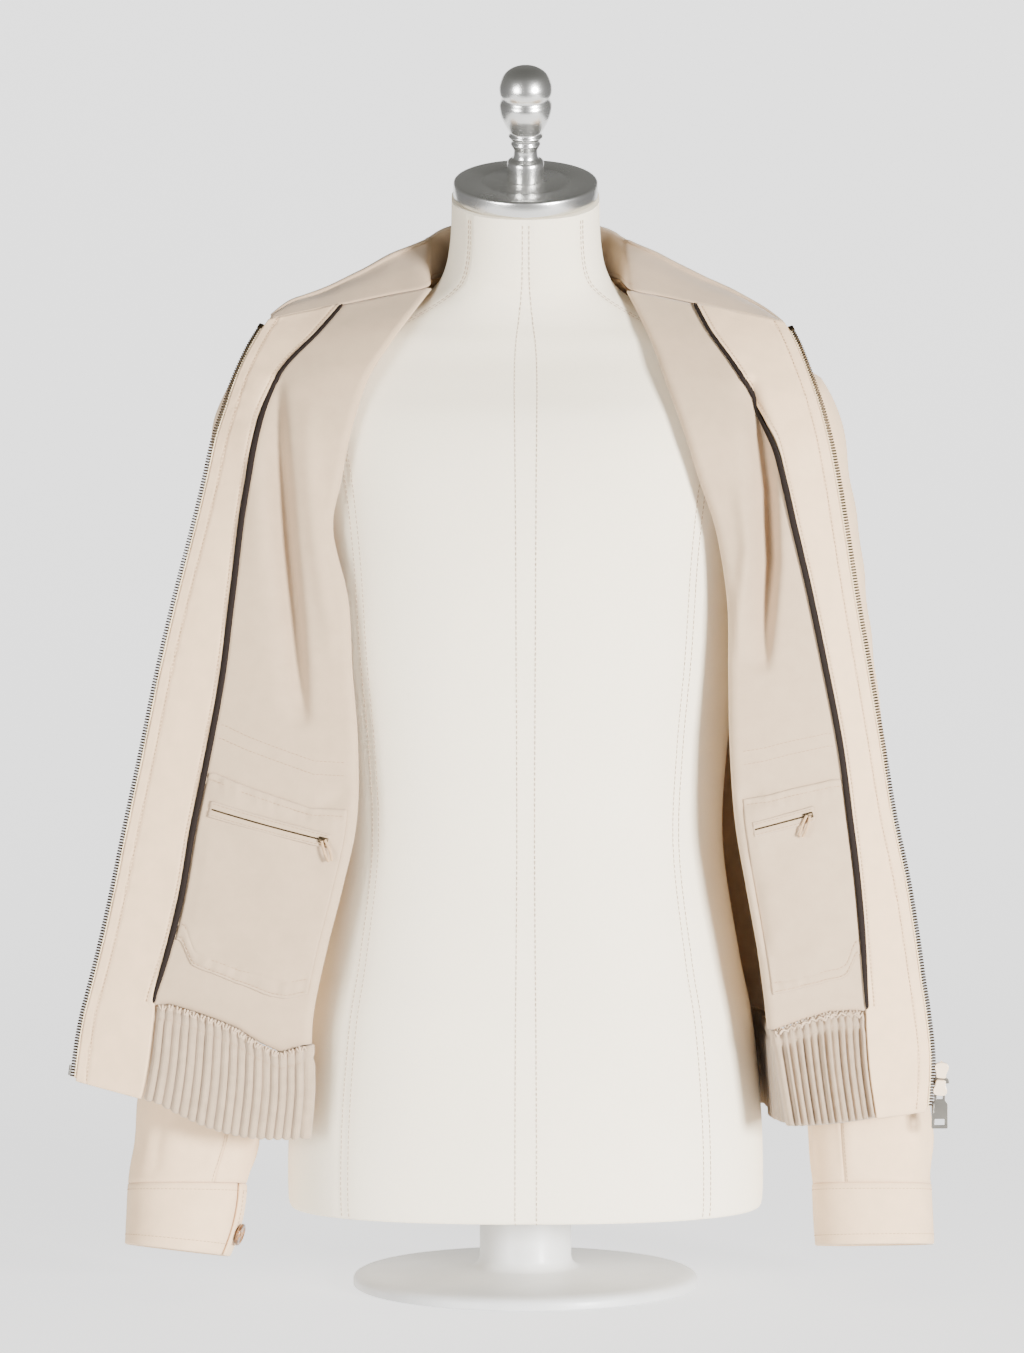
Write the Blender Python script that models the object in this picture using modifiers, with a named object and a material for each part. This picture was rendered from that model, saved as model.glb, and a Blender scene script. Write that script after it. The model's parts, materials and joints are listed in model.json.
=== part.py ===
"""Open wool zip blouson worn by a limbless dress form, both fronts turned back outward.

The coat is built from the pieces it is sewn from, each a thin cloth wall. Lengths in the tables are
millimetres. +Z is up, the form faces -Y, and the wearer's right is -X. The origin is on the ground,
under the middle of the foot.
"""
import math
from collections import namedtuple

import bmesh
import bpy
from mathutils import Matrix, Vector

MM = 0.001
RIGHT, LEFT = -1, 1
FRONT, BACK = -1, 1
NAME_OF = {RIGHT: "right", LEFT: "left"}

# Cloth walls, and the gaps between pieces laid on each other or meeting at a seam
WALL = 1.6
THIN_WALL = 1.2
RIB_WALL = 2.0
CUFF_WALL = 2.2
GAP = 0.35
SEAM_GAP = 0.8
ROUNDNESS = 2.4

# Rings of the body from the hem up: the form, and how far the coat stands off it
Ring = namedtuple(
    "Ring", "z half_width front back centre lean coat_side coat_front coat_back"
)
BODY = [
    Ring(60, 171, 108, 112, 0, 0, 8, 8, 9),
    Ring(68, 176, 112, 116, 0, 0, 8, 8, 9),
    Ring(130, 175, 113, 117, 0, 0, 8, 8, 9),
    Ring(200, 168, 110, 114, 0, 0, 11, 10, 15),
    Ring(250, 158, 104, 108, 0, 0, 22, 14, 26),
    Ring(330, 146, 100, 98, 0, 0, 29, 16, 32),
    Ring(400, 149, 106, 102, 0, 0, 24, 14, 27),
    Ring(470, 157, 114, 110, 0, 0, 13, 10, 18),
    Ring(540, 163, 118, 118, 2, 0, 6, 7, 9),
    Ring(600, 172, 112, 120, 6, 0, 6, 6, 7),
    Ring(640, 182, 100, 113, 9, 0, 6, 6, 7),
    Ring(665, 187, 86, 99, 13, 0, 8, 7, 8),
    Ring(685, 180, 73, 82, 16, 0, 12, 8, 9),
    Ring(700, 155, 66, 72, 18, 0, 13, 8, 9),
    Ring(712, 121, 60, 66, 19, 0, 12, 8, 9),
    Ring(724, 92, 56, 62, 19, 0, 10, 7, 8),
    Ring(738, 70, 54, 60, 17, 3, 6, 6, 7),
    Ring(752, 60, 53, 57, 12, 8, 6, 6, 7),
    Ring(775, 55.5, 52, 53, 6, 15, 6, 6, 6),
    Ring(805.6, 54.5, 51, 51, -0.6, 20, 6, 6, 6),
]
NECK_TILT = 20.0
NECK_SEAM_Z = 744.0

# Armhole loop on the side of the body, seen from the side
ARMHOLE_Z, ARMHOLE_Y = 602.0, 10.0
ARMHOLE_HALF_HEIGHT, ARMHOLE_HALF_DEPTH = 86.0, 71.0
SLEEVE_STAND = 2.6

# Rows of each front from the neck seam (first) to the hem (last). z_edge is on the shoulder seam,
# armhole or side seam; the fold is the roll edge; the zip is the outer edge of the teeth.
FrontRow = namedtuple(
    "FrontRow", "z_edge x_fold y_fold z_fold piping x_zip y_zip z_zip roll"
)
FRONT_ROWS = {
    RIGHT: [
        FrontRow(688, 70, -9, 738, 0.50, 192, -32, 713, 3.0),
        FrontRow(668, 86, -40, 716, 0.53, 203, -46, 694, 3.6),
        FrontRow(640, 100, -56, 696, 0.63, 213, -58, 671, 4.2),
        FrontRow(610, 115, -70, 671, 0.66, 220, -67, 649, 4.6),
        FrontRow(580, 127, -83, 633, 0.64, 227, -74, 627, 5.0),
        FrontRow(550, 134, -86, 598, 0.62, 234, -79, 595, 5.2),
        FrontRow(526, 140, -90, 562, 0.60, 242, -82, 562, 5.4),
        FrontRow(498, 129, -93, 512, 0.62, 256, -84, 508, 5.6),
        FrontRow(452, 126, -95, 461, 0.62, 268, -84, 457, 5.8),
        FrontRow(400, 122, -96, 407, 0.65, 280, -83, 399, 5.8),
        FrontRow(346, 123, -96, 352, 0.67, 292, -82, 344, 5.8),
        FrontRow(298, 133, -95, 305, 0.66, 302, -80, 296, 5.6),
        FrontRow(254, 145, -94, 258, 0.66, 312, -78, 252, 5.4),
        FrontRow(222, 154, -93, 217, 0.66, 320, -77, 216, 5.2),
        FrontRow(200, 156, -92, 192, 0.66, 324, -76, 197, 5.2),
        FrontRow(162, 156, -91, 155, 0.67, 328, -75, 179, 5.2),
        FrontRow(126, 159, -90, 121, 0.69, 331, -75, 162, 5.2),
    ],
    LEFT: [
        FrontRow(688, 75, -14, 736, 0.38, 193, -34, 711, 3.0),
        FrontRow(668, 86, -40, 713, 0.38, 201, -46, 694, 3.6),
        FrontRow(640, 94, -56, 694, 0.44, 209, -58, 671, 4.2),
        FrontRow(610, 103, -75, 667, 0.51, 216, -67, 649, 4.6),
        FrontRow(580, 115, -90, 633, 0.55, 222, -74, 624, 5.0),
        FrontRow(550, 126, -92, 598, 0.55, 228, -79, 592, 5.2),
        FrontRow(526, 138, -92, 562, 0.54, 233, -82, 561, 5.4),
        FrontRow(498, 146, -94, 512, 0.58, 241, -84, 510, 5.6),
        FrontRow(452, 147, -95, 461, 0.63, 250, -84, 460, 5.8),
        FrontRow(400, 148, -96, 407, 0.67, 259, -83, 408, 5.8),
        FrontRow(346, 152, -96, 352, 0.67, 268, -82, 355, 5.8),
        FrontRow(298, 160, -95, 305, 0.64, 278, -80, 309, 5.6),
        FrontRow(254, 168, -94, 261, 0.61, 285, -78, 267, 5.4),
        FrontRow(222, 173, -93, 225, 0.59, 290, -77, 230, 5.2),
        FrontRow(200, 176, -92, 199, 0.58, 293, -76, 210, 5.2),
        FrontRow(162, 182, -91, 164, 0.56, 297, -75, 174, 5.2),
        FrontRow(126, 188, -90, 130, 0.60, 295, -75, 139, 5.2),
    ],
}
RIB_ROW, HEM_ROW = 14, 16
RISE_STARTS, HEM_SAG_SPAN = 11.5, 0.62
FLAP_BELLY = 5.0
LEAST_TURN = 0.34
TEETH_REACH = 4.4
FLAP_COLUMNS = (0.0, 0.09, 0.2, 0.31, 0.42, 0.53, 0.65, 0.8, 1.0, 1.33, 1.66, 2.0)
OUTER_COLUMNS = 3

# How the rib seam waves along the turned-back part, and how far the hem sags
SeamWave = namedtuple("SeamWave", "along rise")
RIB_SEAM_WAVE = {
    RIGHT: [
        SeamWave(0.0, -2),
        SeamWave(0.1, -8),
        SeamWave(0.2, -1),
        SeamWave(0.3, 9),
        SeamWave(0.4, 15),
        SeamWave(0.5, 20),
        SeamWave(0.6, 24),
        SeamWave(0.7, 22),
        SeamWave(1.0, 10),
    ],
    LEFT: [
        SeamWave(0.0, 2),
        SeamWave(0.1, 5),
        SeamWave(0.2, 8),
        SeamWave(0.35, 11),
        SeamWave(0.5, 10),
        SeamWave(0.6, 8),
        SeamWave(1.0, 4),
    ],
}
HEM_SAG = {RIGHT: 9.0, LEFT: 1.0}

# Soft folds of the turned-back fronts: rows they run between, place between the fold edge and the
# piping at each end, half their width, and depth (a trough is negative)
Drape = namedtuple("Drape", "row_from row_to at_from at_to half_width depth")
DRAPES = {
    RIGHT: [
        Drape(3.2, 9.4, 0.76, 0.40, 11, -7.0),
        Drape(3.6, 8.6, 0.46, 0.16, 12, 3.5),
        Drape(9.0, 10.4, 0.20, 0.02, 9, -2.5),
    ],
    LEFT: [
        Drape(2.8, 8.0, 0.62, 0.44, 10, -6.0),
        Drape(4.6, 8.8, 0.58, 0.10, 9, 4.0),
        Drape(10.2, 12.4, 0.05, 0.12, 12, -5.0),
    ],
}

# Ribbed hem band: ribs over each stretch, and how far they stand up
RIBS = {"flap_right": 18, "flap_left": 12, "side_right": 21, "side_left": 18, "back": 74}
RIB_HEIGHT = 1.3
RIB_SEAM_DROP = 1.3
BACK_HEM_Z = 130.0
BACK_RIB_TOP_Z = 202.0

# Collar stations from the front end to the centre back: roll line and fall edge. The seam is taken
# from the front's neck seam (along) up to the neck point, and from the back neck after it (turn).
CollarStation = namedtuple(
    "CollarStation", "along turn x_roll y_roll z_roll x_edge y_edge z_edge roll"
)
COLLAR = {
    RIGHT: [
        CollarStation(0.975, 0, 186, -26, 719, 196, 30, 701, 2.0),
        CollarStation(0.85, 0, 172, -14, 730, 184, 42, 707, 2.6),
        CollarStation(0.65, 0, 150, -4, 738, 164, 52, 712, 3.4),
        CollarStation(0.42, 0, 123, 6, 751, 140, 64, 717, 4.0),
        CollarStation(0.2, 0, 97, 16, 765, 118, 76, 722, 4.0),
        CollarStation(0.0, 0, 76, 28, 774, 98, 86, 726, 4.0),
        CollarStation(0, 0.05, 70, 40, 778, 88, 95, 727, 4.0),
        CollarStation(0, 0.42, 59, 52, 785, 74, 101, 727, 4.0),
        CollarStation(0, 0.72, 34, 70, 791, 42, 109, 728, 4.0),
        CollarStation(0, 1.0, 0, 77, 794, 0, 112, 728, 4.0),
    ],
    LEFT: [
        CollarStation(0.975, 0, 188, -28, 714, 196, 28, 700, 2.0),
        CollarStation(0.85, 0, 172, -14, 726, 184, 42, 706, 2.6),
        CollarStation(0.65, 0, 150, -4, 739, 164, 52, 711, 3.4),
        CollarStation(0.42, 0, 122, 6, 752, 140, 64, 717, 4.0),
        CollarStation(0.2, 0, 97, 16, 765, 118, 76, 722, 4.0),
        CollarStation(0.0, 0, 78, 28, 774, 98, 86, 726, 4.0),
        CollarStation(0, 0.05, 70, 40, 778, 88, 95, 727, 4.0),
        CollarStation(0, 0.42, 59, 52, 785, 74, 101, 727, 4.0),
        CollarStation(0, 0.72, 34, 70, 791, 42, 109, 728, 4.0),
        CollarStation(0, 1.0, 0, 77, 794, 0, 112, 728, 4.0),
    ],
}
COLLAR_LIFT = 1.6

# Sleeve rings from the shoulder down: middle, half width, half depth, the ring's tilt up towards the
# shoulder (90 is upright), its forward pitch, and how much further out the left sleeve hangs
SleeveRing = namedtuple("SleeveRing", "x y z half_width half_depth tilt pitch left_out")
SLEEVE = [
    SleeveRing(196, 8, 594, 81, 73, 75, 0, 0),
    SleeveRing(204, 6, 577, 69, 71, 66, 0, 1),
    SleeveRing(209, 4, 541, 56, 68, 58, 0, 2),
    SleeveRing(214, 2, 500, 45, 65, 44, 1, 3),
    SleeveRing(220, 0, 452, 38, 61, 28, 2, 3),
    SleeveRing(227, -3, 392, 36, 57, 14, 3, 3),
    SleeveRing(235, -6, 306, 37, 52, 6, 5, 3),
    SleeveRing(242, -11, 200, 40, 48, 2, 7, 6),
    SleeveRing(241, -17, 122, 45, 43, 0, 9, 13),
    SleeveRing(250, -21, 78, 43, 37, 0, 10, 6),
]
SLEEVE_SEAMS = (118.0, 232.0)
SLEEVE_ROUNDNESS = 2.2
CUFF_HEIGHT = 44.0
CUFF_DRIFT_Y = -5.0
# How far the cuff's inner side slants out towards the hand and hangs lower
CUFF_SLANT = {RIGHT: 12.0, LEFT: 2.0}
CUFF_HANG = {RIGHT: 9.0, LEFT: 1.0}
BUTTON_RADIUS, BUTTON_THICKNESS = 8.5, 3.0
BUTTON_TURN = {RIGHT: 168.0, LEFT: 236.0}
BUTTON_DROP = {RIGHT: 0.70, LEFT: 0.5}

# Pockets on the inside of the fronts: rows of their top and bottom edge by place across
PocketEdge = namedtuple("PocketEdge", "across top bottom")
POCKET = {
    RIGHT: [
        PocketEdge(0.04, 9.84, 12.70),
        PocketEdge(0.25, 9.80, 12.72),
        PocketEdge(0.50, 9.62, 12.62),
        PocketEdge(0.75, 9.44, 12.40),
        PocketEdge(0.95, 9.28, 12.16),
    ],
    LEFT: [
        PocketEdge(0.04, 9.70, 13.00),
        PocketEdge(0.25, 9.66, 13.00),
        PocketEdge(0.50, 9.58, 12.96),
        PocketEdge(0.75, 9.52, 12.86),
        PocketEdge(0.90, 9.48, 12.70),
    ],
}
Welt = namedtuple("Welt", "across_from across_to row_from row_to half_rows")
WELT = {RIGHT: Welt(0.10, 0.93, 10.28, 9.74, 0.10), LEFT: Welt(0.08, 0.68, 10.12, 9.92, 0.10)}
PULL_ACROSS = {RIGHT: 0.14, LEFT: 0.62}
PULL_LENGTH, PULL_WIDTH, PULL_THICKNESS = 16.0, 5.0, 1.8

# Zip hardware at the foot of the left zip
TAPE_END = 15.85
SLIDER_OUT = 6.1
SLIDER_THICKNESS = 5.0
SLIDER_LENGTH, SLIDER_WIDE, SLIDER_NARROW = 11.4, 10.4, 7.2
SLIDER_ROWS = {"upper": 15.20, "lower": 15.54}
TAB_REACH = 3.9
TAB_THICKNESS = 1.2
TAB_WIDTH, TAB_EYE_WIDTH, TAB_EYE_LENGTH = 11.8, 8.0, 8.6
TAB_LENGTH = {"upper": 13.5, "lower": 29.0}
TAB_BAR = 1.9

# Form hardware
PLATE_RADIUS, PLATE_THICKNESS = 53.3, 12.6
FOOT_RADIUS, FOOT_THICKNESS, FOOT_POST_RADIUS = 128.0, 13.0, 34.0
FINIAL_PROFILE = [
    (0.0, 86.5),
    (8.0, 85.5),
    (15.0, 81.0),
    (18.8, 73.5),
    (19.2, 67.0),
    (17.8, 62.0),
    (19.2, 57.0),
    (18.0, 49.0),
    (14.5, 41.5),
    (11.8, 36.5),
    (12.6, 33.5),
    (10.2, 30.5),
    (10.9, 27.5),
    (8.8, 23.5),
    (9.4, 17.0),
    (13.3, 14.0),
    (13.3, 1.0),
]

COLOURS = {
    "wool": (0.74, 0.66, 0.57, 0.9, 0.0),
    "rib": (0.62, 0.54, 0.45, 0.95, 0.0),
    "binding": (0.04, 0.028, 0.022, 0.7, 0.0),
    "tape": (0.78, 0.70, 0.58, 0.8, 0.0),
    "enamel": (0.76, 0.69, 0.58, 0.35, 0.1),
    "gunmetal": (0.30, 0.29, 0.27, 0.35, 1.0),
    "leather": (0.55, 0.44, 0.30, 0.6, 0.0),
    "horn": (0.12, 0.06, 0.03, 0.3, 0.0),
    "canvas": (0.84, 0.79, 0.69, 0.85, 0.0),
    "nickel": (0.62, 0.62, 0.60, 0.3, 1.0),
    "foot": (0.55, 0.55, 0.54, 0.4, 0.8),
}


# Numbers between the rows of a table

def catmull(p0, p1, p2, p3, t):
    """Smooth value between p1 and p2 at t."""
    return 0.5 * (
        2 * p1
        + (p2 - p0) * t
        + (2 * p0 - 5 * p1 + 4 * p2 - p3) * t * t
        + (3 * p1 - p0 - 3 * p2 + p3) * t * t * t
    )


def row_at(rows, place):
    """The table's row at a real-numbered place, smooth between the given rows."""
    place = min(max(place, 0.0), len(rows) - 1.0)
    k = min(int(place), len(rows) - 2)
    t = place - k
    picks = [rows[min(max(k + d, 0), len(rows) - 1)] for d in (-1, 0, 1, 2)]
    return type(rows[0])(*[catmull(*values, t) for values in zip(*picks)])


def column_at(rows, key, value, where):
    """Column value read straight between rows, at where in the key column."""
    for low, high in zip(rows, rows[1:]):
        a, b = getattr(low, key), getattr(high, key)
        if a <= where <= b:
            return getattr(low, value) + (getattr(high, value) - getattr(low, value)) * (
                where - a
            ) / (b - a)
    return getattr(rows[0] if where < getattr(rows[0], key) else rows[-1], value)


def spaced(start, stop, count):
    """Count + 1 even values from start to stop."""
    return [start + (stop - start) * k / count for k in range(count + 1)]


def mix(a, b, t):
    return a + (b - a) * t


def ramp(value, start, stop):
    """0 before start, 1 after stop, smooth between."""
    t = min(max((value - start) / (stop - start), 0.0), 1.0)
    return t * t * (3 - 2 * t)


# The body that the coat hangs on

def level_of(z):
    """Place in BODY whose ring lies at height z."""
    low, high = 0.0, len(BODY) - 1.0
    for _ in range(40):
        middle = (low + high) / 2
        if row_at(BODY, middle).z < z:
            low = middle
        else:
            high = middle
    return (low + high) / 2


def body_point(level, side, face, turn, coat=False):
    """Point on the form, or on the coat round it. turn is 0 at the side and 1 at the middle."""
    ring = row_at(BODY, level)
    width = ring.half_width + (ring.coat_side if coat else 0)
    if face == FRONT:
        depth = ring.front + (ring.coat_front if coat else 0)
    else:
        depth = ring.back + (ring.coat_back if coat else 0)
    angle = turn * math.pi / 2
    x = side * width * math.cos(angle) ** (2 / ROUNDNESS)
    y = face * depth * max(math.sin(angle), 0.0) ** (2 / ROUNDNESS)
    return Vector((x, ring.centre + y, ring.z + y * math.tan(math.radians(ring.lean))))


def turn_for_x(level, x):
    """Turn at which the coat's ring is x from the middle."""
    ring = row_at(BODY, level)
    share = min(abs(x) / (ring.half_width + ring.coat_side), 1.0)
    return math.acos(share ** (ROUNDNESS / 2)) / (math.pi / 2)


def turn_for_y(level, face, y):
    """Turn at which the coat's ring reaches y, on the front or back."""
    ring = row_at(BODY, level)
    depth = ring.front + ring.coat_front if face == FRONT else ring.back + ring.coat_back
    share = min(max(face * (y - ring.centre) / depth, 0.0), 1.0)
    return math.asin(share ** (ROUNDNESS / 2)) / (math.pi / 2)


def edge_turn(z, face):
    """Where a body panel ends at height z: the shoulder seam, armhole or side seam."""
    level = level_of(z)
    ring = row_at(BODY, level)
    seam = (SEAM_GAP / 2) / (ring.front + ring.back) * 2
    seam_turn = math.asin(min(seam, 1.0) ** (ROUNDNESS / 2)) / (math.pi / 2)
    share = (z - ARMHOLE_Z) / ARMHOLE_HALF_HEIGHT
    if abs(share) >= 1:
        return seam_turn
    reach = ARMHOLE_Y + face * ARMHOLE_HALF_DEPTH * math.sqrt(1 - share * share)
    return max(turn_for_y(level, face, reach), seam_turn)


# The fronts: from the seam round the body, about the roll edge, and out to the zip

def seam_rise(side, along, row):
    """How far the rib seam and hem stand off the straight line of their row."""
    wave = column_at(RIB_SEAM_WAVE[side], "along", "rise", along)
    rise = wave * ramp(row, RISE_STARTS, RIB_ROW) * (1 - ramp(row, RIB_ROW, HEM_ROW))
    sag = HEM_SAG[side] * math.sin(math.pi * min(along / HEM_SAG_SPAN, 1.0))
    return rise - sag * ramp(row, RIB_ROW, HEM_ROW)


def drape_depth(side, across, row, span):
    """Depth of the soft folds at a place between the fold edge (0) and the piping (1)."""
    depth = 0.0
    for drape in DRAPES[side]:
        run = (row - drape.row_from) / (drape.row_to - drape.row_from)
        if not 0 < run < 1:
            continue
        away = (across - mix(drape.at_from, drape.at_to, run)) * span / drape.half_width
        depth += drape.depth * math.sin(math.pi * run) * math.exp(-away * away)
    return depth


def under_point(side, share, row):
    """Point between the shoulder, armhole or side seam (0) and the start of the roll (1)."""
    place = row_at(FRONT_ROWS[side], row)
    start = Vector((level_of(place.z_edge), edge_turn(place.z_edge, FRONT)))
    level = level_of(place.z_fold)
    inner = place.x_fold + place.roll
    end = Vector((level, max(turn_for_x(level, inner), LEAST_TURN)))
    at = start.lerp(end, share)
    point = body_point(at.x, side, FRONT, at.y, coat=True)
    reached = body_point(end.x, side, FRONT, end.y, coat=True)
    target = Vector((side * inner, place.y_fold + place.roll, place.z_fold))
    point += (target - reached) * share * share
    point.z += seam_rise(side, 0.0, row) * share
    return point


def roll_point(side, share, row):
    """Point on the half round of the roll edge."""
    place = row_at(FRONT_ROWS[side], row)
    angle = share * math.pi
    inward = place.x_fold + place.roll - place.roll * math.sin(angle)
    forward = place.y_fold + place.roll * math.cos(angle)
    return Vector((side * inward, forward, place.z_fold + seam_rise(side, 0.0, row)))


def flap_point(side, along, row):
    """Point on the turned-back part between the roll edge (0) and the teeth (1)."""
    place = row_at(FRONT_ROWS[side], row)
    start = roll_point(side, 1.0, row)
    stop = Vector((side * place.x_zip, place.y_zip, place.z_zip))
    point = start.lerp(stop, along)
    span = (stop - start).length
    point.y -= FLAP_BELLY * math.sin(math.pi * along) * ramp(row, 0, 3)
    point.y -= drape_depth(side, along / place.piping, row, span * place.piping)
    point.z += seam_rise(side, along, row) - seam_rise(side, 0.0, row) * (1 - along)
    return point


def piping_at(side, row):
    return row_at(FRONT_ROWS[side], row).piping


def flap_width(side, row):
    return (flap_point(side, 1.0, row) - flap_point(side, 0.0, row)).length


def cloth_edge(side, row):
    """Where the cloth stops short of the teeth."""
    return 1 - TEETH_REACH / flap_width(side, row)


def along_of(side, place, row):
    """Share of the way to the teeth, for a place: 0 roll edge, 1 piping, 2 cloth edge."""
    piping = piping_at(side, row)
    if place <= 1:
        return place * piping
    return mix(piping, cloth_edge(side, row), place - 1)


def facet_row(side, place, row):
    """Point on the straight line between the panel's two columns nearest a place."""
    for low, high in zip(FLAP_COLUMNS, FLAP_COLUMNS[1:]):
        if place <= high or high == FLAP_COLUMNS[-1]:
            break
    start = flap_point(side, along_of(side, low, row), row)
    stop = flap_point(side, along_of(side, high, row), row)
    return start.lerp(stop, (place - low) / (high - low))


def facet_point(side, place, row):
    """Point on the panel's own facets, so that what lies on it follows them."""
    upper = min(int(row), HEM_ROW - 1)
    return facet_row(side, place, upper).lerp(facet_row(side, place, upper + 1), row - upper)


def lifted(side, place, row, lift):
    """Point off the inner face of the turned-back part, which looks forward."""
    step = 0.06
    across = facet_point(side, place + step, row) - facet_point(side, place - step, row)
    down = facet_point(side, place, row + step) - facet_point(side, place, row - step)
    out = across.cross(down)
    if out.y > 0:
        out = -out
    return facet_point(side, place, row) + out.normalized() * lift


def inner_width(side, row):
    """Width of the turned-back part between the roll edge and the piping."""
    return flap_width(side, row) * piping_at(side, row)


def outer_width(side, row):
    """Width of the turned-back part between the piping and the cloth's edge."""
    return flap_width(side, row) * (cloth_edge(side, row) - piping_at(side, row))


def beyond(side, row, out, lift):
    """Point past the cloth's edge, in line with the facing."""
    edge = lifted(side, 2.0, row, lift)
    return edge + (edge - lifted(side, 1.7, row, lift)).normalized() * out


# Meshes and objects

def material(name):
    found = bpy.data.materials.get(name)
    if found:
        return found
    red, green, blue, roughness, metallic = COLOURS[name]
    made = bpy.data.materials.new(name)
    made.use_nodes = True
    shader = made.node_tree.nodes["Principled BSDF"]
    shader.inputs["Base Color"].default_value = (red, green, blue, 1)
    shader.inputs["Roughness"].default_value = roughness
    shader.inputs["Metallic"].default_value = metallic
    made.diffuse_color = (red, green, blue, 1)
    return made


def new_object(name, mesh, finish):
    made = bpy.data.objects.new(name, mesh)
    PARTS.objects.link(made)
    mesh.materials.append(material(finish))
    mesh.shade_smooth()
    mesh.set_sharp_from_angle(angle=math.radians(50))
    return made


def surface_mesh(name, rows, keep=None, closed=False):
    """Open quad surface through rows of points in millimetres."""
    shape = bmesh.new()
    made = {}

    def corner(j, i):
        if (j, i) not in made:
            made[j, i] = shape.verts.new(rows[j][i] * MM)
        return made[j, i]

    columns = len(rows[0])
    for j in range(len(rows) - 1):
        for i in range(columns if closed else columns - 1):
            if keep and not keep(j, i):
                continue
            k = (i + 1) % columns
            shape.faces.new((corner(j, i), corner(j, k), corner(j + 1, k), corner(j + 1, i)))
    mesh = bpy.data.meshes.new(name)
    shape.to_mesh(mesh)
    shape.free()
    return mesh


def cloth(name, rows, finish, wall=WALL, keep=None, closed=False):
    """A cloth wall: the surface through the rows, thickened evenly about itself."""
    made = new_object(name, surface_mesh(name, rows, keep, closed), finish)
    solid = made.modifiers.new("Wall", "SOLIDIFY")
    solid.thickness = wall * MM
    solid.offset = 0
    solid.use_even_offset = True
    solid.use_quality_normals = True
    return made


def loft(name, rings, finish):
    """Closed solid through rings of points, with a flat face at each end."""
    shape = bmesh.new()
    made = [[shape.verts.new(point * MM) for point in ring] for ring in rings]
    count = len(rings[0])
    for low, high in zip(made, made[1:]):
        for i in range(count):
            k = (i + 1) % count
            shape.faces.new((low[i], low[k], high[k], high[i]))
    shape.faces.new(made[0])
    shape.faces.new(made[-1])
    bmesh.ops.recalc_face_normals(shape, faces=shape.faces)
    mesh = bpy.data.meshes.new(name)
    shape.to_mesh(mesh)
    shape.free()
    return new_object(name, mesh, finish)


def turned(name, profile, finish, steps, matrix):
    """Turned piece: a profile of (radius, height) from top to bottom, spun about its axis."""
    mesh = bpy.data.meshes.new(name)
    points = [(radius * MM, 0, height * MM) for radius, height in profile]
    mesh.from_pydata(points, [(k, k + 1) for k in range(len(points) - 1)], [])
    made = new_object(name, mesh, finish)
    screw = made.modifiers.new("Turn", "SCREW")
    screw.steps = screw.render_steps = steps
    screw.use_merge_vertices = True
    screw.merge_threshold = 0.00005
    screw.use_smooth_shade = True
    made.matrix_world = matrix
    return made


def plate(name, outlines, thickness, finish, matrix):
    """Flat plate: outlines of (x, z) points, the later ones cut out of the first."""
    curve = bpy.data.curves.new(name, "CURVE")
    curve.dimensions = "2D"
    curve.fill_mode = "BOTH"
    curve.extrude = thickness / 2 * MM
    for outline in outlines:
        spline = curve.splines.new("POLY")
        spline.points.add(len(outline) - 1)
        for point, (x, y) in zip(spline.points, outline):
            point.co = (x * MM, y * MM, 0, 1)
        spline.use_cyclic_u = True
    curve.materials.append(material(finish))
    made = bpy.data.objects.new(name, curve)
    PARTS.objects.link(made)
    made.matrix_world = matrix
    return made


def tube(name, points, radius, finish):
    """Round wire through points, with closed ends."""
    curve = bpy.data.curves.new(name, "CURVE")
    curve.dimensions = "3D"
    curve.bevel_depth = radius * MM
    curve.bevel_resolution = 2
    curve.use_fill_caps = True
    spline = curve.splines.new("POLY")
    spline.points.add(len(points) - 1)
    for point, place in zip(spline.points, points):
        point.co = (*(place * MM), 1)
    curve.materials.append(material(finish))
    made = bpy.data.objects.new(name, curve)
    PARTS.objects.link(made)
    return made


def frame_at(origin, out, down):
    """Matrix in metres whose local X points out, local Y up along the zip and local Z forward."""
    up = -down.normalized()
    across = (out - up * out.dot(up)).normalized()
    facing = across.cross(up)
    turn = Matrix((across, up, facing)).transposed().to_4x4()
    return Matrix.Translation(origin * MM) @ turn


# The dress form

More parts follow.
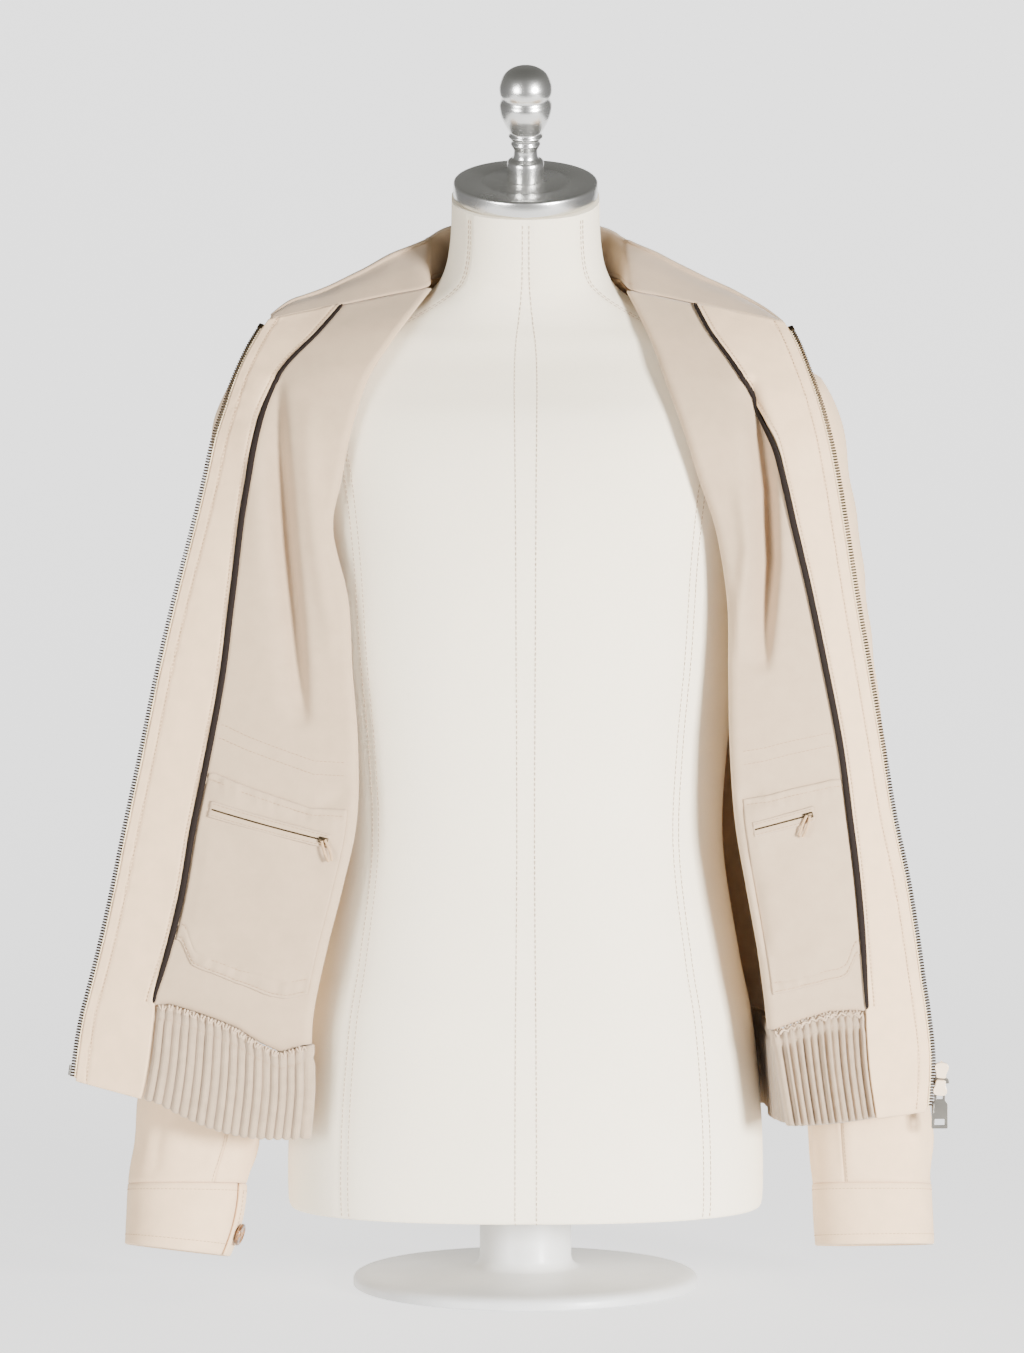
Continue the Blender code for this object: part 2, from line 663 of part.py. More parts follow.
def make_form():
    around = 22
    rings = []
    levels = spaced(0, 2, 2) + spaced(3, len(BODY) - 1, 19)
    for level in levels:
        ring = []
        for k in range(around):
            angle = 4 * k / around
            quarter = int(angle)
            turn = angle - quarter
            side = (LEFT, RIGHT, RIGHT, LEFT)[quarter]
            face = (BACK, BACK, FRONT, FRONT)[quarter]
            ring.append(body_point(level, side, face, turn if quarter % 2 == 0 else 1 - turn))
        rings.append(ring)
    loft("form_body", rings, "canvas")
    top = BODY[-1]
    tilt = Matrix.Rotation(math.radians(NECK_TILT), 4, "X")
    rise = GAP / math.cos(math.radians(NECK_TILT))
    seat = Matrix.Translation(Vector((0, top.centre, top.z + rise)) * MM) @ tilt
    thick = PLATE_THICKNESS
    plate_profile = [
        (0.0, thick),
        (31.0, thick),
        (32.0, thick - 0.8),
        (33.0, thick),
        (PLATE_RADIUS - 2.0, thick),
        (PLATE_RADIUS, thick - 2.0),
        (PLATE_RADIUS, 1.2),
        (PLATE_RADIUS - 1.2, 0.0),
        (0.0, 0.0),
    ]
    turned("form_neck_plate", plate_profile, "nickel", 28, seat)
    finial_seat = seat @ Matrix.Translation(Vector((0, 0, thick + GAP)) * MM)
    profile = [(radius, height) for radius, height in FINIAL_PROFILE] + [(12.4, 0.0), (0.0, 0.0)]
    turned("form_finial", profile, "nickel", 16, finial_seat)
    foot_top = BODY[0].z - GAP
    foot_profile = [
        (0.0, foot_top),
        (FOOT_POST_RADIUS, foot_top),
        (FOOT_POST_RADIUS, FOOT_THICKNESS + 6),
        (FOOT_POST_RADIUS + 8, FOOT_THICKNESS),
        (FOOT_RADIUS - 10, FOOT_THICKNESS - 3),
        (FOOT_RADIUS, FOOT_THICKNESS - 7),
        (FOOT_RADIUS, 0.0),
        (0.0, 0.0),
    ]
    turned("form_foot", foot_profile, "foot", 32, Matrix.Identity(4))


# Coat pieces

def make_back():
    top = level_of(NECK_SEAM_Z)
    heights = [687, 678, 662, 636, 602, 565, 535, 518, 470, 400, 330, 265, 230, BACK_RIB_TOP_Z]
    levels = spaced(top, level_of(heights[0]), 3) + [level_of(z) for z in heights[1:]]
    across = 8
    rows = []
    for level in levels:
        start = edge_turn(row_at(BODY, level).z, BACK)
        half = [mix(start, 1.0, k / across) for k in range(across + 1)]
        row = [body_point(level, RIGHT, BACK, turn, coat=True) for turn in half]
        row += [body_point(level, LEFT, BACK, turn, coat=True) for turn in reversed(half[:-1])]
        rows.append(row)
    cloth("back", rows, "wool")


def make_front(side):
    """One panel: under the sleeve, round the roll edge, and turned back out to the zip."""
    rows = []
    for row in range(HEM_ROW + 1):
        line = [under_point(side, share, row) for share in spaced(0, 1, 6)]
        line += [roll_point(side, share, row) for share in (0.25, 0.5, 0.75)]
        line += [flap_point(side, along_of(side, place, row), row) for place in FLAP_COLUMNS]
        rows.append(line)
    outer = len(rows[0]) - OUTER_COLUMNS - 1
    keep = lambda j, i: j < RIB_ROW or i >= outer
    cloth("front_" + NAME_OF[side], rows, "wool", keep=keep)


def binding_width(row):
    return 3.0 + 1.4 * ramp(row, 1, 5)


def make_facing(side):
    """Facing on the front's inner face, from the binding to the cloth's edge."""
    rows = []
    for row in [0.02] + spaced(1, HEM_ROW, HEM_ROW - 1):
        bound = binding_width(row) + 2 * GAP if row <= RIB_ROW else 2 * GAP
        start = 1 + bound / outer_width(side, row)
        places = [start] + list(FLAP_COLUMNS[-OUTER_COLUMNS:])
        rows.append([lifted(side, place, row, WALL + GAP) for place in places])
    cloth("facing_" + NAME_OF[side], rows, "wool")


def make_binding(side):
    """Dark binding along the facing's inner edge: a flat tube of six sides."""
    sections = []
    for row in [0.05] + spaced(1, RIB_ROW - 1, RIB_ROW - 2) + [RIB_ROW - 0.05]:
        half = binding_width(row) / 2
        width = outer_width(side, row)
        rise = WALL / 2 + GAP
        ring = []
        for across, up in ((-1, 0.5), (-0.6, 0), (0.6, 0), (1, 0.5), (0.7, 2.3), (-0.7, 2.3)):
            place = 1 + half * (1 + across) / width
            ring.append(lifted(side, place, row, rise + up))
        sections.append(ring)
    loft("binding_" + NAME_OF[side], sections, "binding")


def make_pocket(side):
    name = NAME_OF[side]
    lift = WALL / 2 + GAP + THIN_WALL / 2
    edges = POCKET[side]
    first, last = edges[0].across, edges[-1].across
    acrosses = [first] + [place for place in FLAP_COLUMNS if first < place < last] + [last]
    tops = [column_at(edges, "across", "top", across) for across in acrosses]
    bottoms = [column_at(edges, "across", "bottom", across) for across in acrosses]
    between = [[row] * len(acrosses) for row in range(int(max(tops)) + 1, int(min(bottoms)) + 1)]
    rows = []
    for levels in [tops] + between + [bottoms]:
        rows.append([lifted(side, place, row, lift) for place, row in zip(acrosses, levels)])
    cloth("pocket_" + name, rows, "wool", THIN_WALL)
    welt = WELT[side]
    lift += THIN_WALL + 2 * GAP
    rows = []
    for offset in (-1, 1):
        line = []
        for share in spaced(0, 1, 6):
            row = mix(welt.row_from, welt.row_to, share) + offset * welt.half_rows
            across = mix(welt.across_from, welt.across_to, share)
            line.append(lifted(side, across, row, lift))
        rows.append(line)
    cloth("pocket_zip_" + name, rows, "wool", THIN_WALL)
    share = (PULL_ACROSS[side] - welt.across_from) / (welt.across_to - welt.across_from)
    row = mix(welt.row_from, welt.row_to, share)
    lift += THIN_WALL / 2 + GAP + PULL_THICKNESS / 2
    top = lifted(side, PULL_ACROSS[side], row, lift)
    lean = Vector((-0.35 * side, -0.06, -1)).normalized()
    wide = Vector((1, 0, -0.35 * side)).normalized() * PULL_WIDTH / 2
    thick = Vector((0, PULL_THICKNESS / 2, 0))
    sections = []
    for share in (0.0, 0.3, 1.0):
        middle = top + lean * PULL_LENGTH * share
        size = (0.8, 0.55, 0.7)[len(sections)]
        signs = ((-1, -1), (1, -1), (1, 1), (-1, 1))
        sections.append([middle + wide * size * a + thick * b for a, b in signs])
    loft("pocket_pull_" + name, sections, "leather")


def make_zip_tape(side):
    """Tape with its row of teeth as one bead, from the cloth's edge outward."""
    sections = []
    for row in [0.25] + spaced(1, HEM_ROW - 1, HEM_ROW - 2) + [TAPE_END]:
        ring = []
        for out, up in (
            (GAP, -0.5),
            (2.2, -0.5),
            (2.4, -1.3),
            (TEETH_REACH, -1.3),
            (TEETH_REACH, 1.3),
            (2.4, 1.3),
            (2.2, 0.5),
            (GAP, 0.5),
        ):
            ring.append(beyond(side, row, out, up + (WALL + GAP) / 2))
        sections.append(ring)
    loft("zip_tape_" + NAME_OF[side], sections, "tape")


def collar_points():
    """Sections across the collar, from the right front end round the back to the left."""
    sections = []
    for side in (RIGHT, LEFT):
        line = []
        for station in COLLAR[side]:
            if station.turn == 0:
                seam = flap_point(side, station.along * cloth_edge(side, 0.0), 0.0)
            else:
                seam = body_point(level_of(NECK_SEAM_Z), side, BACK, station.turn, coat=True)
            seam.z += COLLAR_LIFT
            roll = Vector((side * station.x_roll, station.y_roll, station.z_roll))
            edge = Vector((side * station.x_edge, station.y_edge, station.z_edge))
            out = Vector((edge.x - roll.x, edge.y - roll.y, 0)).normalized()
            radius = station.roll
            fall = roll + out * 2 * radius
            line.append(
                [
                    seam,
                    seam.lerp(roll, 0.5),
                    roll - Vector((0, 0, radius)),
                    roll + out * radius * 0.4 + Vector((0, 0, -0.2 * radius)),
                    roll + out * radius * 1.6 + Vector((0, 0, -0.2 * radius)),
                    fall - Vector((0, 0, radius)),
                    fall.lerp(edge, 0.5) + out * 2.0,
                    edge,
                ]
            )
        smooth = []
        for place in spaced(0, len(line) - 1, 2 * (len(line) - 1)):
            smooth.append([point_between(line, place, k) for k in range(len(line[0]))])
        sections.append(smooth)
    return sections[0] + sections[1][-2::-1]


def point_between(sections, place, k):
    """Point k of the sections at a real-numbered place, smooth between them."""
    low = min(int(place), len(sections) - 2)
    picks = [sections[min(max(low + d, 0), len(sections) - 1)][k] for d in (-1, 0, 1, 2)]
    return catmull(*picks, place - low)


def make_collar():
    cloth("collar", collar_points(), "wool")


def oval(angle, power):
    """Unit superellipse: (towards the outside, towards the front)."""
    c, s = math.cos(angle), math.sin(angle)
    return (
        math.copysign(abs(c) ** (2 / power), c),
        math.copysign(abs(s) ** (2 / power), s),
    )


def armhole_point(side, degrees):
    """Point on the sleeve's first ring, just off the coat's side."""
    angle = math.radians(degrees)
    z = ARMHOLE_Z + ARMHOLE_HALF_HEIGHT * math.cos(angle)
    y = ARMHOLE_Y - ARMHOLE_HALF_DEPTH * math.sin(angle)
    level = level_of(z)
    face = FRONT if y < row_at(BODY, level).centre else BACK
    turn = turn_for_y(level, face, y)
    point = body_point(level, side, face, turn, coat=True)
    return point + Vector((side * SLEEVE_STAND, 0, 0))


def middle_x(side, ring):
    return ring.x + (ring.left_out if side == LEFT else 0)


def sleeve_point(side, degrees, place):
    """Point on the sleeve: place 0 is the armhole, then one for each ring."""
    if place < 1:
        start = armhole_point(side, degrees)
        return start.lerp(sleeve_point(side, degrees, 1.0), place)
    ring = row_at(SLEEVE, place - 1)
    out, front = oval(math.radians(degrees), SLEEVE_ROUNDNESS)
    tilt, pitch = math.radians(ring.tilt), math.radians(ring.pitch)
    x = middle_x(side, ring) + ring.half_width * out * math.cos(tilt)
    y = ring.y - ring.half_depth * front * math.cos(pitch)
    z = ring.z + ring.half_width * out * math.sin(tilt)
    z += ring.half_depth * front * math.sin(pitch)
    return Vector((side * x, y, z))


def make_sleeve(side):
    front_seam, back_seam = SLEEVE_SEAMS
    gap = 1.1
    places = [0, 1, 2, 3, 4, 5, 6, 7, 8, 9, len(SLEEVE)]
    pieces = {
        "sleeve_top_": spaced(back_seam - 360 + gap, front_seam - gap, 10),
        "sleeve_under_": spaced(front_seam + gap, back_seam - gap, 5),
    }
    for name, turns in pieces.items():
        rows = [[sleeve_point(side, turn, place) for turn in turns] for place in places]
        cloth(name + NAME_OF[side], rows, "wool")


def cuff_point(side, degrees, drop):
    """Point on the cuff, drop below its top edge."""
    share = drop / CUFF_HEIGHT
    point = sleeve_point(side, degrees, len(SLEEVE))
    middle = SLEEVE[-1]
    swell = 1 + 0.02 * share
    centre_x = middle_x(side, middle)
    away = point - Vector((side * centre_x, middle.y, middle.z))
    inner = (1 - oval(math.radians(degrees), SLEEVE_ROUNDNESS)[0]) / 2
    slant = CUFF_SLANT[side] * share * share * inner
    hang = CUFF_HANG[side] * share * inner
    centre_x += share + slant
    centre = Vector((side * centre_x, middle.y + CUFF_DRIFT_Y * share, middle.z - drop - hang))
    return centre + Vector((away.x * swell, away.y * swell, away.z))


def make_cuff(side):
    turns = spaced(0, 360, 18)[:-1]
    rows = [
        [cuff_point(side, turn, drop) for turn in turns]
        for drop in (SEAM_GAP + 0.4, CUFF_HEIGHT / 2, CUFF_HEIGHT)
    ]
    cloth("cuff_" + NAME_OF[side], rows, "wool", CUFF_WALL, closed=True)
    turn = BUTTON_TURN[side]
    drop = CUFF_HEIGHT * BUTTON_DROP[side]
    seat = cuff_point(side, turn, drop)
    along = cuff_point(side, turn + 4, drop) - cuff_point(side, turn - 4, drop)
    down = cuff_point(side, turn, drop + 4) - cuff_point(side, turn, drop - 4)
    out = along.cross(down).normalized()
    middle = SLEEVE[-1]
    if out.dot(seat - Vector((side * middle_x(side, middle), middle.y, seat.z))) < 0:
        out = -out
    base = seat + out * (CUFF_WALL / 2 + GAP + 0.4)
    matrix = Matrix.Translation(base * MM) @ out.to_track_quat("Z", "Y").to_matrix().to_4x4()
    profile = [
        (0.0, BUTTON_THICKNESS - 0.6),
        (BUTTON_RADIUS - 2.4, BUTTON_THICKNESS - 0.6),
        (BUTTON_RADIUS - 1.2, BUTTON_THICKNESS),
        (BUTTON_RADIUS, BUTTON_THICKNESS - 1.0),
        (BUTTON_RADIUS - 1.5, 0.0),
        (0.0, 0.0),
    ]
    turned("cuff_button_" + NAME_OF[side], profile, "horn", 14, matrix)


def rib_height(k):
    """Ridge on every other point."""
    return RIB_HEIGHT / 2 if k % 2 else -RIB_HEIGHT / 2


def ribbed(rows):
    """The rows with every other column moved along the surface's normal, both faces alike."""
    made = []
    last = len(rows[0]) - 1
    for j, row in enumerate(rows):
        line = []
        for k, point in enumerate(row):
            along = row[min(k + 1, last)] - row[max(k - 1, 0)]
            down = rows[min(j + 1, len(rows) - 1)][k] - rows[max(j - 1, 0)][k]
            line.append(point + along.cross(down).normalized() * rib_height(k))
        made.append(line)
    return made


def make_rib_front(side):
    """Ribbed band from the side seam round the roll edge to the facing."""
    name = NAME_OF[side]
    flap, under = RIBS["flap_" + name], RIBS["side_" + name]
    rows = []
    for row in (RIB_ROW, RIB_ROW + 1, HEM_ROW):
        stop = 1 - 2.4 / inner_width(side, row)
        line = [under_point(side, share, row) for share in spaced(0.004, 1, 2 * under)]
        line += [roll_point(side, share, row) for share in (0.34, 0.67)]
        line += [facet_row(side, place, row) for place in spaced(0, stop, 2 * flap)]
        if row == RIB_ROW:
            line = [point - Vector((0, 0, RIB_SEAM_DROP)) for point in line]
        rows.append(line)
    cloth("hem_rib_" + name, ribbed(rows), "rib", RIB_WALL)


def even_turns(level, face, start, count):
    """Turns from start to the middle of the coat's ring that lie evenly along it."""
    fine = spaced(start, 1.0, 200)
    points = [body_point(level, LEFT, face, turn, coat=True) for turn in fine]
    lengths = [0.0]
    for low, high in zip(points, points[1:]):
        lengths.append(lengths[-1] + (high - low).length)
    turns = []
    k = 0
    for wanted in spaced(0, lengths[-1], count):
        while k < len(fine) - 2 and lengths[k + 1] < wanted:
            k += 1
        turns.append(mix(fine[k], fine[k + 1], (wanted - lengths[k]) / (lengths[k + 1] - lengths[k])))
    return turns


def make_rib_back():
    """Ribbed band across the back, from side seam to side seam."""
    rows = []
    for z in (BACK_RIB_TOP_Z - RIB_SEAM_DROP, (BACK_RIB_TOP_Z + BACK_HEM_Z) / 2, BACK_HEM_Z):
        level = level_of(z)
        half = even_turns(level, BACK, edge_turn(z, BACK) + 0.004, RIBS["back"])
        row = [body_point(level, RIGHT, BACK, turn, coat=True) for turn in half]
        row += [body_point(level, LEFT, BACK, turn, coat=True) for turn in reversed(half[:-1])]
        rows.append(row)
    cloth("hem_rib_back", ribbed(rows), "rib", RIB_WALL)


def slider_frame(row):
    """Frame of a slider beside the left zip: X outward, Y up the zip, Z forward."""
    at = beyond(LEFT, row, TEETH_REACH, (WALL + GAP) / 2)
    down = flap_point(LEFT, 1.0, row + 0.1) - flap_point(LEFT, 1.0, row - 0.1)
    frame = frame_at(at, Vector((1, 0, 0)), down)
    return frame @ Matrix.Translation(Vector((SLIDER_OUT, 0, 0)) * MM)


def make_slider(which, flip):
    """Waisted slider body with a wire bridge on the coat's outer face."""
    frame = slider_frame(SLIDER_ROWS[which])
    length, wide, narrow = SLIDER_LENGTH, SLIDER_WIDE / 2, SLIDER_NARROW / 2
    outline = [
        (-narrow, -length / 2),
        (narrow, -length / 2),
        (narrow, -length * 0.2),
        (wide, length * 0.15),
        (wide * 0.95, length * 0.38),
        (wide * 0.5, length / 2),
        (-wide * 0.5, length / 2),
        (-wide * 0.95, length * 0.38),
        (-wide, length * 0.15),
        (-narrow, -length * 0.2),
    ]
    outline = [(x, y * flip) for x, y in outline]
    plate("zip_slider_" + which, [outline], SLIDER_THICKNESS, "enamel", frame)
    back = -SLIDER_THICKNESS / 2 - GAP
    hinge = length * 0.2 * flip
    path = [
        (0, hinge - 3.4, back - 0.7),
        (0, hinge - 3.4, back - 2.2),
        (0, hinge - 2.2, back - 3.2),
        (0, hinge + 2.2, back - 3.2),
        (0, hinge + 3.4, back - 2.2),
        (0, hinge + 3.4, back - 0.7),
    ]
    points = [frame @ (Vector(place) * MM) / MM for place in path]
    tube("zip_bridge_" + which, points, 0.7, "enamel")
    return frame, hinge


def make_tab(which, frame, hinge):
    """Metal pull tab hanging from the slider's bridge, free to swing up off the coat."""
    centre = frame @ (Vector((0, hinge, -TAB_REACH)) * MM)
    length = TAB_LENGTH[which]
    eye, wide, bar = TAB_EYE_WIDTH / 2, TAB_WIDTH / 2, TAB_BAR
    top = bar / 2
    shoulder = top - TAB_EYE_LENGTH
    outline = [
        (-eye, top),
        (eye, top),
        (eye, shoulder),
        (wide, shoulder - 2),
        (wide, top - length + 1),
        (wide - 1, top - length),
        (-wide + 1, top - length),
        (-wide, top - length + 1),
        (-wide, shoulder - 2),
        (-eye, shoulder),
    ]
    hole = [
        (-eye + bar, -bar / 2),
        (eye - bar, -bar / 2),
        (eye - bar, shoulder + 1.2),
        (-eye + bar, shoulder + 1.2),
    ]
    outlines = [outline, hole]
    if which == "lower":
        low = top - length + 2.6
        outlines.append([(-3.6, low + 4.4), (3.6, low + 4.4), (3.6, low), (-3.6, low)])
    upright = Matrix.Rotation(math.pi / 2, 4, "X")
    matrix = Matrix.Translation(centre) @ upright
    plate("zip_tab_" + which, outlines, TAB_THICKNESS, "gunmetal", matrix)


def make_zip_pins():
    """Retainer pins at the foot of each zip."""
    for side, rows in ((RIGHT, (15.45, 15.8)), (LEFT, (15.8, 16.05))):
        points = []
        for row in spaced(rows[0], rows[1], 2):
            points.append(beyond(side, row, TEETH_REACH + 1.6, (WALL + GAP) / 2))
        tube("zip_pin_" + NAME_OF[side], points, 1.1, "gunmetal")


def main():
    make_form()
    make_back()
    make_collar()
    for side in (RIGHT, LEFT):
        make_front(side)
        make_facing(side)
        make_binding(side)
        make_pocket(side)
        make_zip_tape(side)
        make_sleeve(side)
        make_cuff(side)
        make_rib_front(side)
    make_rib_back()
    make_zip_pins()
    for which, flip in (("upper", 1), ("lower", -1)):
        frame, hinge = make_slider(which, flip)
        make_tab(which, frame, hinge)


for old in list(bpy.data.objects):
    bpy.data.objects.remove(old, do_unlink=True)
PARTS = bpy.data.collections.new("wool_blouson_on_form")
bpy.context.scene.collection.children.link(PARTS)
main()
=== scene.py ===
"""Wool zip blouson worn open on a limbless dress form: cloth, trims, metal, floor and light.

The coat's solids are the fixed frame. Each sewn piece is remade here as fine cloth on the same
rings, rows and stations, in millimetres in the tables and in metres on the meshes.
"""

import json
import logging
import math
from collections.abc import Sequence
from dataclasses import dataclass, field
from enum import Enum

import bpy
import numpy as np
from mathutils import Matrix, Vector

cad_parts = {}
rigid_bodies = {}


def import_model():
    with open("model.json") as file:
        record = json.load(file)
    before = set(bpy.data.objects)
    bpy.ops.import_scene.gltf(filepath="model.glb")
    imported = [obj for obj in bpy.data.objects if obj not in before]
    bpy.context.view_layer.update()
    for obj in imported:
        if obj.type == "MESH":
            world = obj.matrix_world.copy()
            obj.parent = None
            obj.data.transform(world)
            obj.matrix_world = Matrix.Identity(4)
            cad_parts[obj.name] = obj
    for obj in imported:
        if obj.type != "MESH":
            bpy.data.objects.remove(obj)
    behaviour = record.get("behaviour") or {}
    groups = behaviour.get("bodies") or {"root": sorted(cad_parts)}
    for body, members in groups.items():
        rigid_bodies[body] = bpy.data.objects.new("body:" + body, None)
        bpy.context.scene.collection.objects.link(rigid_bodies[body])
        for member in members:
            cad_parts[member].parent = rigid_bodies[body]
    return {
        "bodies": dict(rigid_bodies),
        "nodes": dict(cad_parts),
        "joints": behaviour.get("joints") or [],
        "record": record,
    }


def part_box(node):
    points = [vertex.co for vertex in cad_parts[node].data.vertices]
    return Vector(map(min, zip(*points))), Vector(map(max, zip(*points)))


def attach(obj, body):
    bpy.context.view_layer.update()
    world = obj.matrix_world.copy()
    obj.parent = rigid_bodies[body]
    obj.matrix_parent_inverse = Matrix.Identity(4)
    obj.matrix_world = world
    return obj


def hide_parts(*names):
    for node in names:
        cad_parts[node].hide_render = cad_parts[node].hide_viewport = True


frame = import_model()

LOG = logging.getLogger("blouson")
MM = 0.001
Points = np.ndarray


class Side(Enum):
    """The wearer's right or left half."""

    RIGHT = -1
    LEFT = 1

    @property
    def label(self) -> str:
        """Lower-case word used in piece names."""
        return self.name.lower()


class Half(Enum):
    """Front or back of the body."""

    FRONT = -1
    BACK = 1


# Reading tables smoothly


def smooth(rows: Points, place: Points | float) -> Points:
    """Catmull-Rom reading of a table between its rows."""
    last = len(rows) - 1
    place = np.clip(np.asarray(place, float), 0, last)
    low = np.minimum(place.astype(int), last - 1)
    t = (place - low)[(...,) + (None,) * (rows.ndim - 1)]
    before, start, stop, after = (rows[np.clip(low + d, 0, last)] for d in (-1, 0, 1, 2))
    return 0.5 * (
        2 * start
        + (stop - before) * t
        + (2 * before - 5 * start + 4 * stop - after) * t**2
        + (3 * start - before - 3 * stop + after) * t**3
    )


def ramp(value: Points | float, start: float, stop: float) -> Points:
    """0 before start, 1 after stop, smooth between."""
    t = np.clip((np.asarray(value, float) - start) / (stop - start), 0, 1)
    return t * t * (3 - 2 * t)


def unit(vectors: Points) -> Points:
    """The vectors at length 1."""
    return vectors / np.maximum(np.linalg.norm(vectors, axis=-1, keepdims=True), 1e-9)


def stack(*parts: Points | float) -> Points:
    """Points from separate x, y and z."""
    return np.stack(np.broadcast_arrays(*parts), axis=-1).astype(float)


# Shapes of the form and of the garment on it


@dataclass(frozen=True)
class Torso:
    """Rings of the form from the hem up, and how far the coat stands off them."""

    roundness: float = 2.4
    armhole: tuple[float, float] = (602.0, 10.0)
    armhole_half: tuple[float, float] = (86.0, 71.0)
    seam_gap: float = 0.8
    neck_tilt: float = 20.0
    neck_seam_z: float = 744.0
    # z, half width, front, back, centre, lean, coat at side, front and back
    rings: Points = field(
        default_factory=lambda: np.array(
            [
                (60, 171, 108, 112, 0, 0, 8, 8, 9),
                (68, 176, 112, 116, 0, 0, 8, 8, 9),
                (130, 175, 113, 117, 0, 0, 8, 8, 9),
                (200, 168, 110, 114, 0, 0, 11, 10, 15),
                (250, 158, 104, 108, 0, 0, 22, 14, 26),
                (330, 146, 100, 98, 0, 0, 29, 16, 32),
                (400, 149, 106, 102, 0, 0, 24, 14, 27),
                (470, 157, 114, 110, 0, 0, 13, 10, 18),
                (540, 163, 118, 118, 2, 0, 6, 7, 9),
                (600, 172, 112, 120, 6, 0, 6, 6, 7),
                (640, 182, 100, 113, 9, 0, 6, 6, 7),
                (665, 187, 86, 99, 13, 0, 8, 7, 8),
                (685, 180, 73, 82, 16, 0, 12, 8, 9),
                (700, 155, 66, 72, 18, 0, 13, 8, 9),
                (712, 121, 60, 66, 19, 0, 12, 8, 9),
                (724, 92, 56, 62, 19, 0, 10, 7, 8),
                (738, 70, 54, 60, 17, 3, 6, 6, 7),
                (752, 60, 53, 57, 12, 8, 6, 6, 7),
                (775, 55.5, 52, 53, 6, 15, 6, 6, 6),
                (805.6, 54.5, 51, 51, -0.6, 20, 6, 6, 6),
            ],
            float,
        )
    )

    def level(self, z: Points | float) -> Points:
        """Place among the rings that lies at height z."""
        fine = np.linspace(0, len(self.rings) - 1, 1901)
        return np.interp(z, smooth(self.rings, fine)[:, 0], fine)

    def depth(self, level: Points, half: Half, coat: bool = True) -> Points:
        """Depth of the ring before or behind its centre."""
        ring = smooth(self.rings, level)
        column = 2 if half is Half.FRONT else 3
        return ring[..., column] + (ring[..., column + 5] if coat else 0)

    def point(self, level: Points, side: int, half: Half, turn: Points, coat: bool) -> Points:
        """Point on the form or on the coat round it."""
        level, turn = np.broadcast_arrays(np.asarray(level, float), np.asarray(turn, float))
        ring = smooth(self.rings, level)
        width = ring[..., 1] + (ring[..., 6] if coat else 0)
        angle = turn * math.pi / 2
        power = 2 / self.roundness
        x = side * width * np.maximum(np.cos(angle), 0) ** power
        y = half.value * self.depth(level, half, coat) * np.maximum(np.sin(angle), 0) ** power
        z = ring[..., 0] + y * np.tan(np.radians(ring[..., 5]))
        return stack(x, ring[..., 4] + y, z)

    def turn_for_x(self, level: Points, x: Points) -> Points:
        """Turn at which the coat's ring is x from the middle."""
        ring = smooth(self.rings, level)
        share = np.minimum(np.abs(x) / (ring[..., 1] + ring[..., 6]), 1)
        return np.arccos(share ** (self.roundness / 2)) / (math.pi / 2)

    def turn_for_y(self, level: Points, half: Half, y: Points) -> Points:
        """Turn at which the coat's ring reaches y."""
        centre = smooth(self.rings, level)[..., 4]
        share = np.clip(half.value * (y - centre) / self.depth(level, half), 0, 1)
        return np.arcsin(share ** (self.roundness / 2)) / (math.pi / 2)

    def edge_turn(self, z: Points, half: Half) -> Points:
        """Where a body panel ends: the shoulder seam, armhole or side seam."""
        level = self.level(z)
        ring = smooth(self.rings, level)
        seam = np.minimum(self.seam_gap / (ring[..., 2] + ring[..., 3]), 1)
        seam_turn = np.arcsin(seam ** (self.roundness / 2)) / (math.pi / 2)
        share = np.clip((z - self.armhole[0]) / self.armhole_half[0], -1, 1)
        reach = self.armhole[1] + half.value * self.armhole_half[1] * np.sqrt(1 - share**2)
        return np.maximum(self.turn_for_y(level, half, reach) * (np.abs(share) < 1), seam_turn)


TORSO = Torso()


@dataclass(frozen=True)
class Crease:
    """Soft fold of a flat-lying stretch of cloth, seen from the front.

    The path runs through (x, z) points in millimetres. A ridge has a positive height.
    """

    path: Sequence[tuple[float, float]]
    half_width: float
    height: float
    skew: float = 0.0

    def rise(self, x: Points, z: Points) -> Points:
        """Height of the fold at points of the cloth."""
        spots = np.array(self.path, float)
        steps = np.diff(spots, axis=0)
        lengths = np.linalg.norm(steps, axis=1)
        reached = np.concatenate([[0], np.cumsum(lengths)])
        best = np.full(np.shape(x), 1e9)
        along = np.zeros(np.shape(x))
        away = np.zeros(np.shape(x))
        for (x0, z0), (dx, dz), length, done in zip(spots, steps, lengths, reached):
            t = np.clip(((x - x0) * dx + (z - z0) * dz) / length**2, 0, 1)
            off_x, off_z = x - x0 - t * dx, z - z0 - t * dz
            distance = np.hypot(off_x, off_z)
            nearer = distance < best
            best = np.where(nearer, distance, best)
            along = np.where(nearer, (done + t * length) / reached[-1], along)
            away = np.where(nearer, np.sign(off_x * dz - off_z * dx), away)
        width = self.half_width * (1 + self.skew * away)
        fade = np.sin(math.pi * np.clip(along, 0, 1)) ** 0.6
        return self.height * fade * np.exp(-((best / width) ** 2))


@dataclass(frozen=True)
class FrontTable:
    """Rows of one front from the neck seam to the hem, and how its rib seam waves.

    The columns are the height of the shoulder, armhole or side seam, the roll edge's x, y and z,
    the binding's share of the width, the teeth's x, y and z, and the radius of the roll.
    """

    rows: Sequence[tuple[float, ...]]
    seam_wave: Sequence[tuple[float, float]]
    hem_sag: float
    creases: Sequence[Crease]


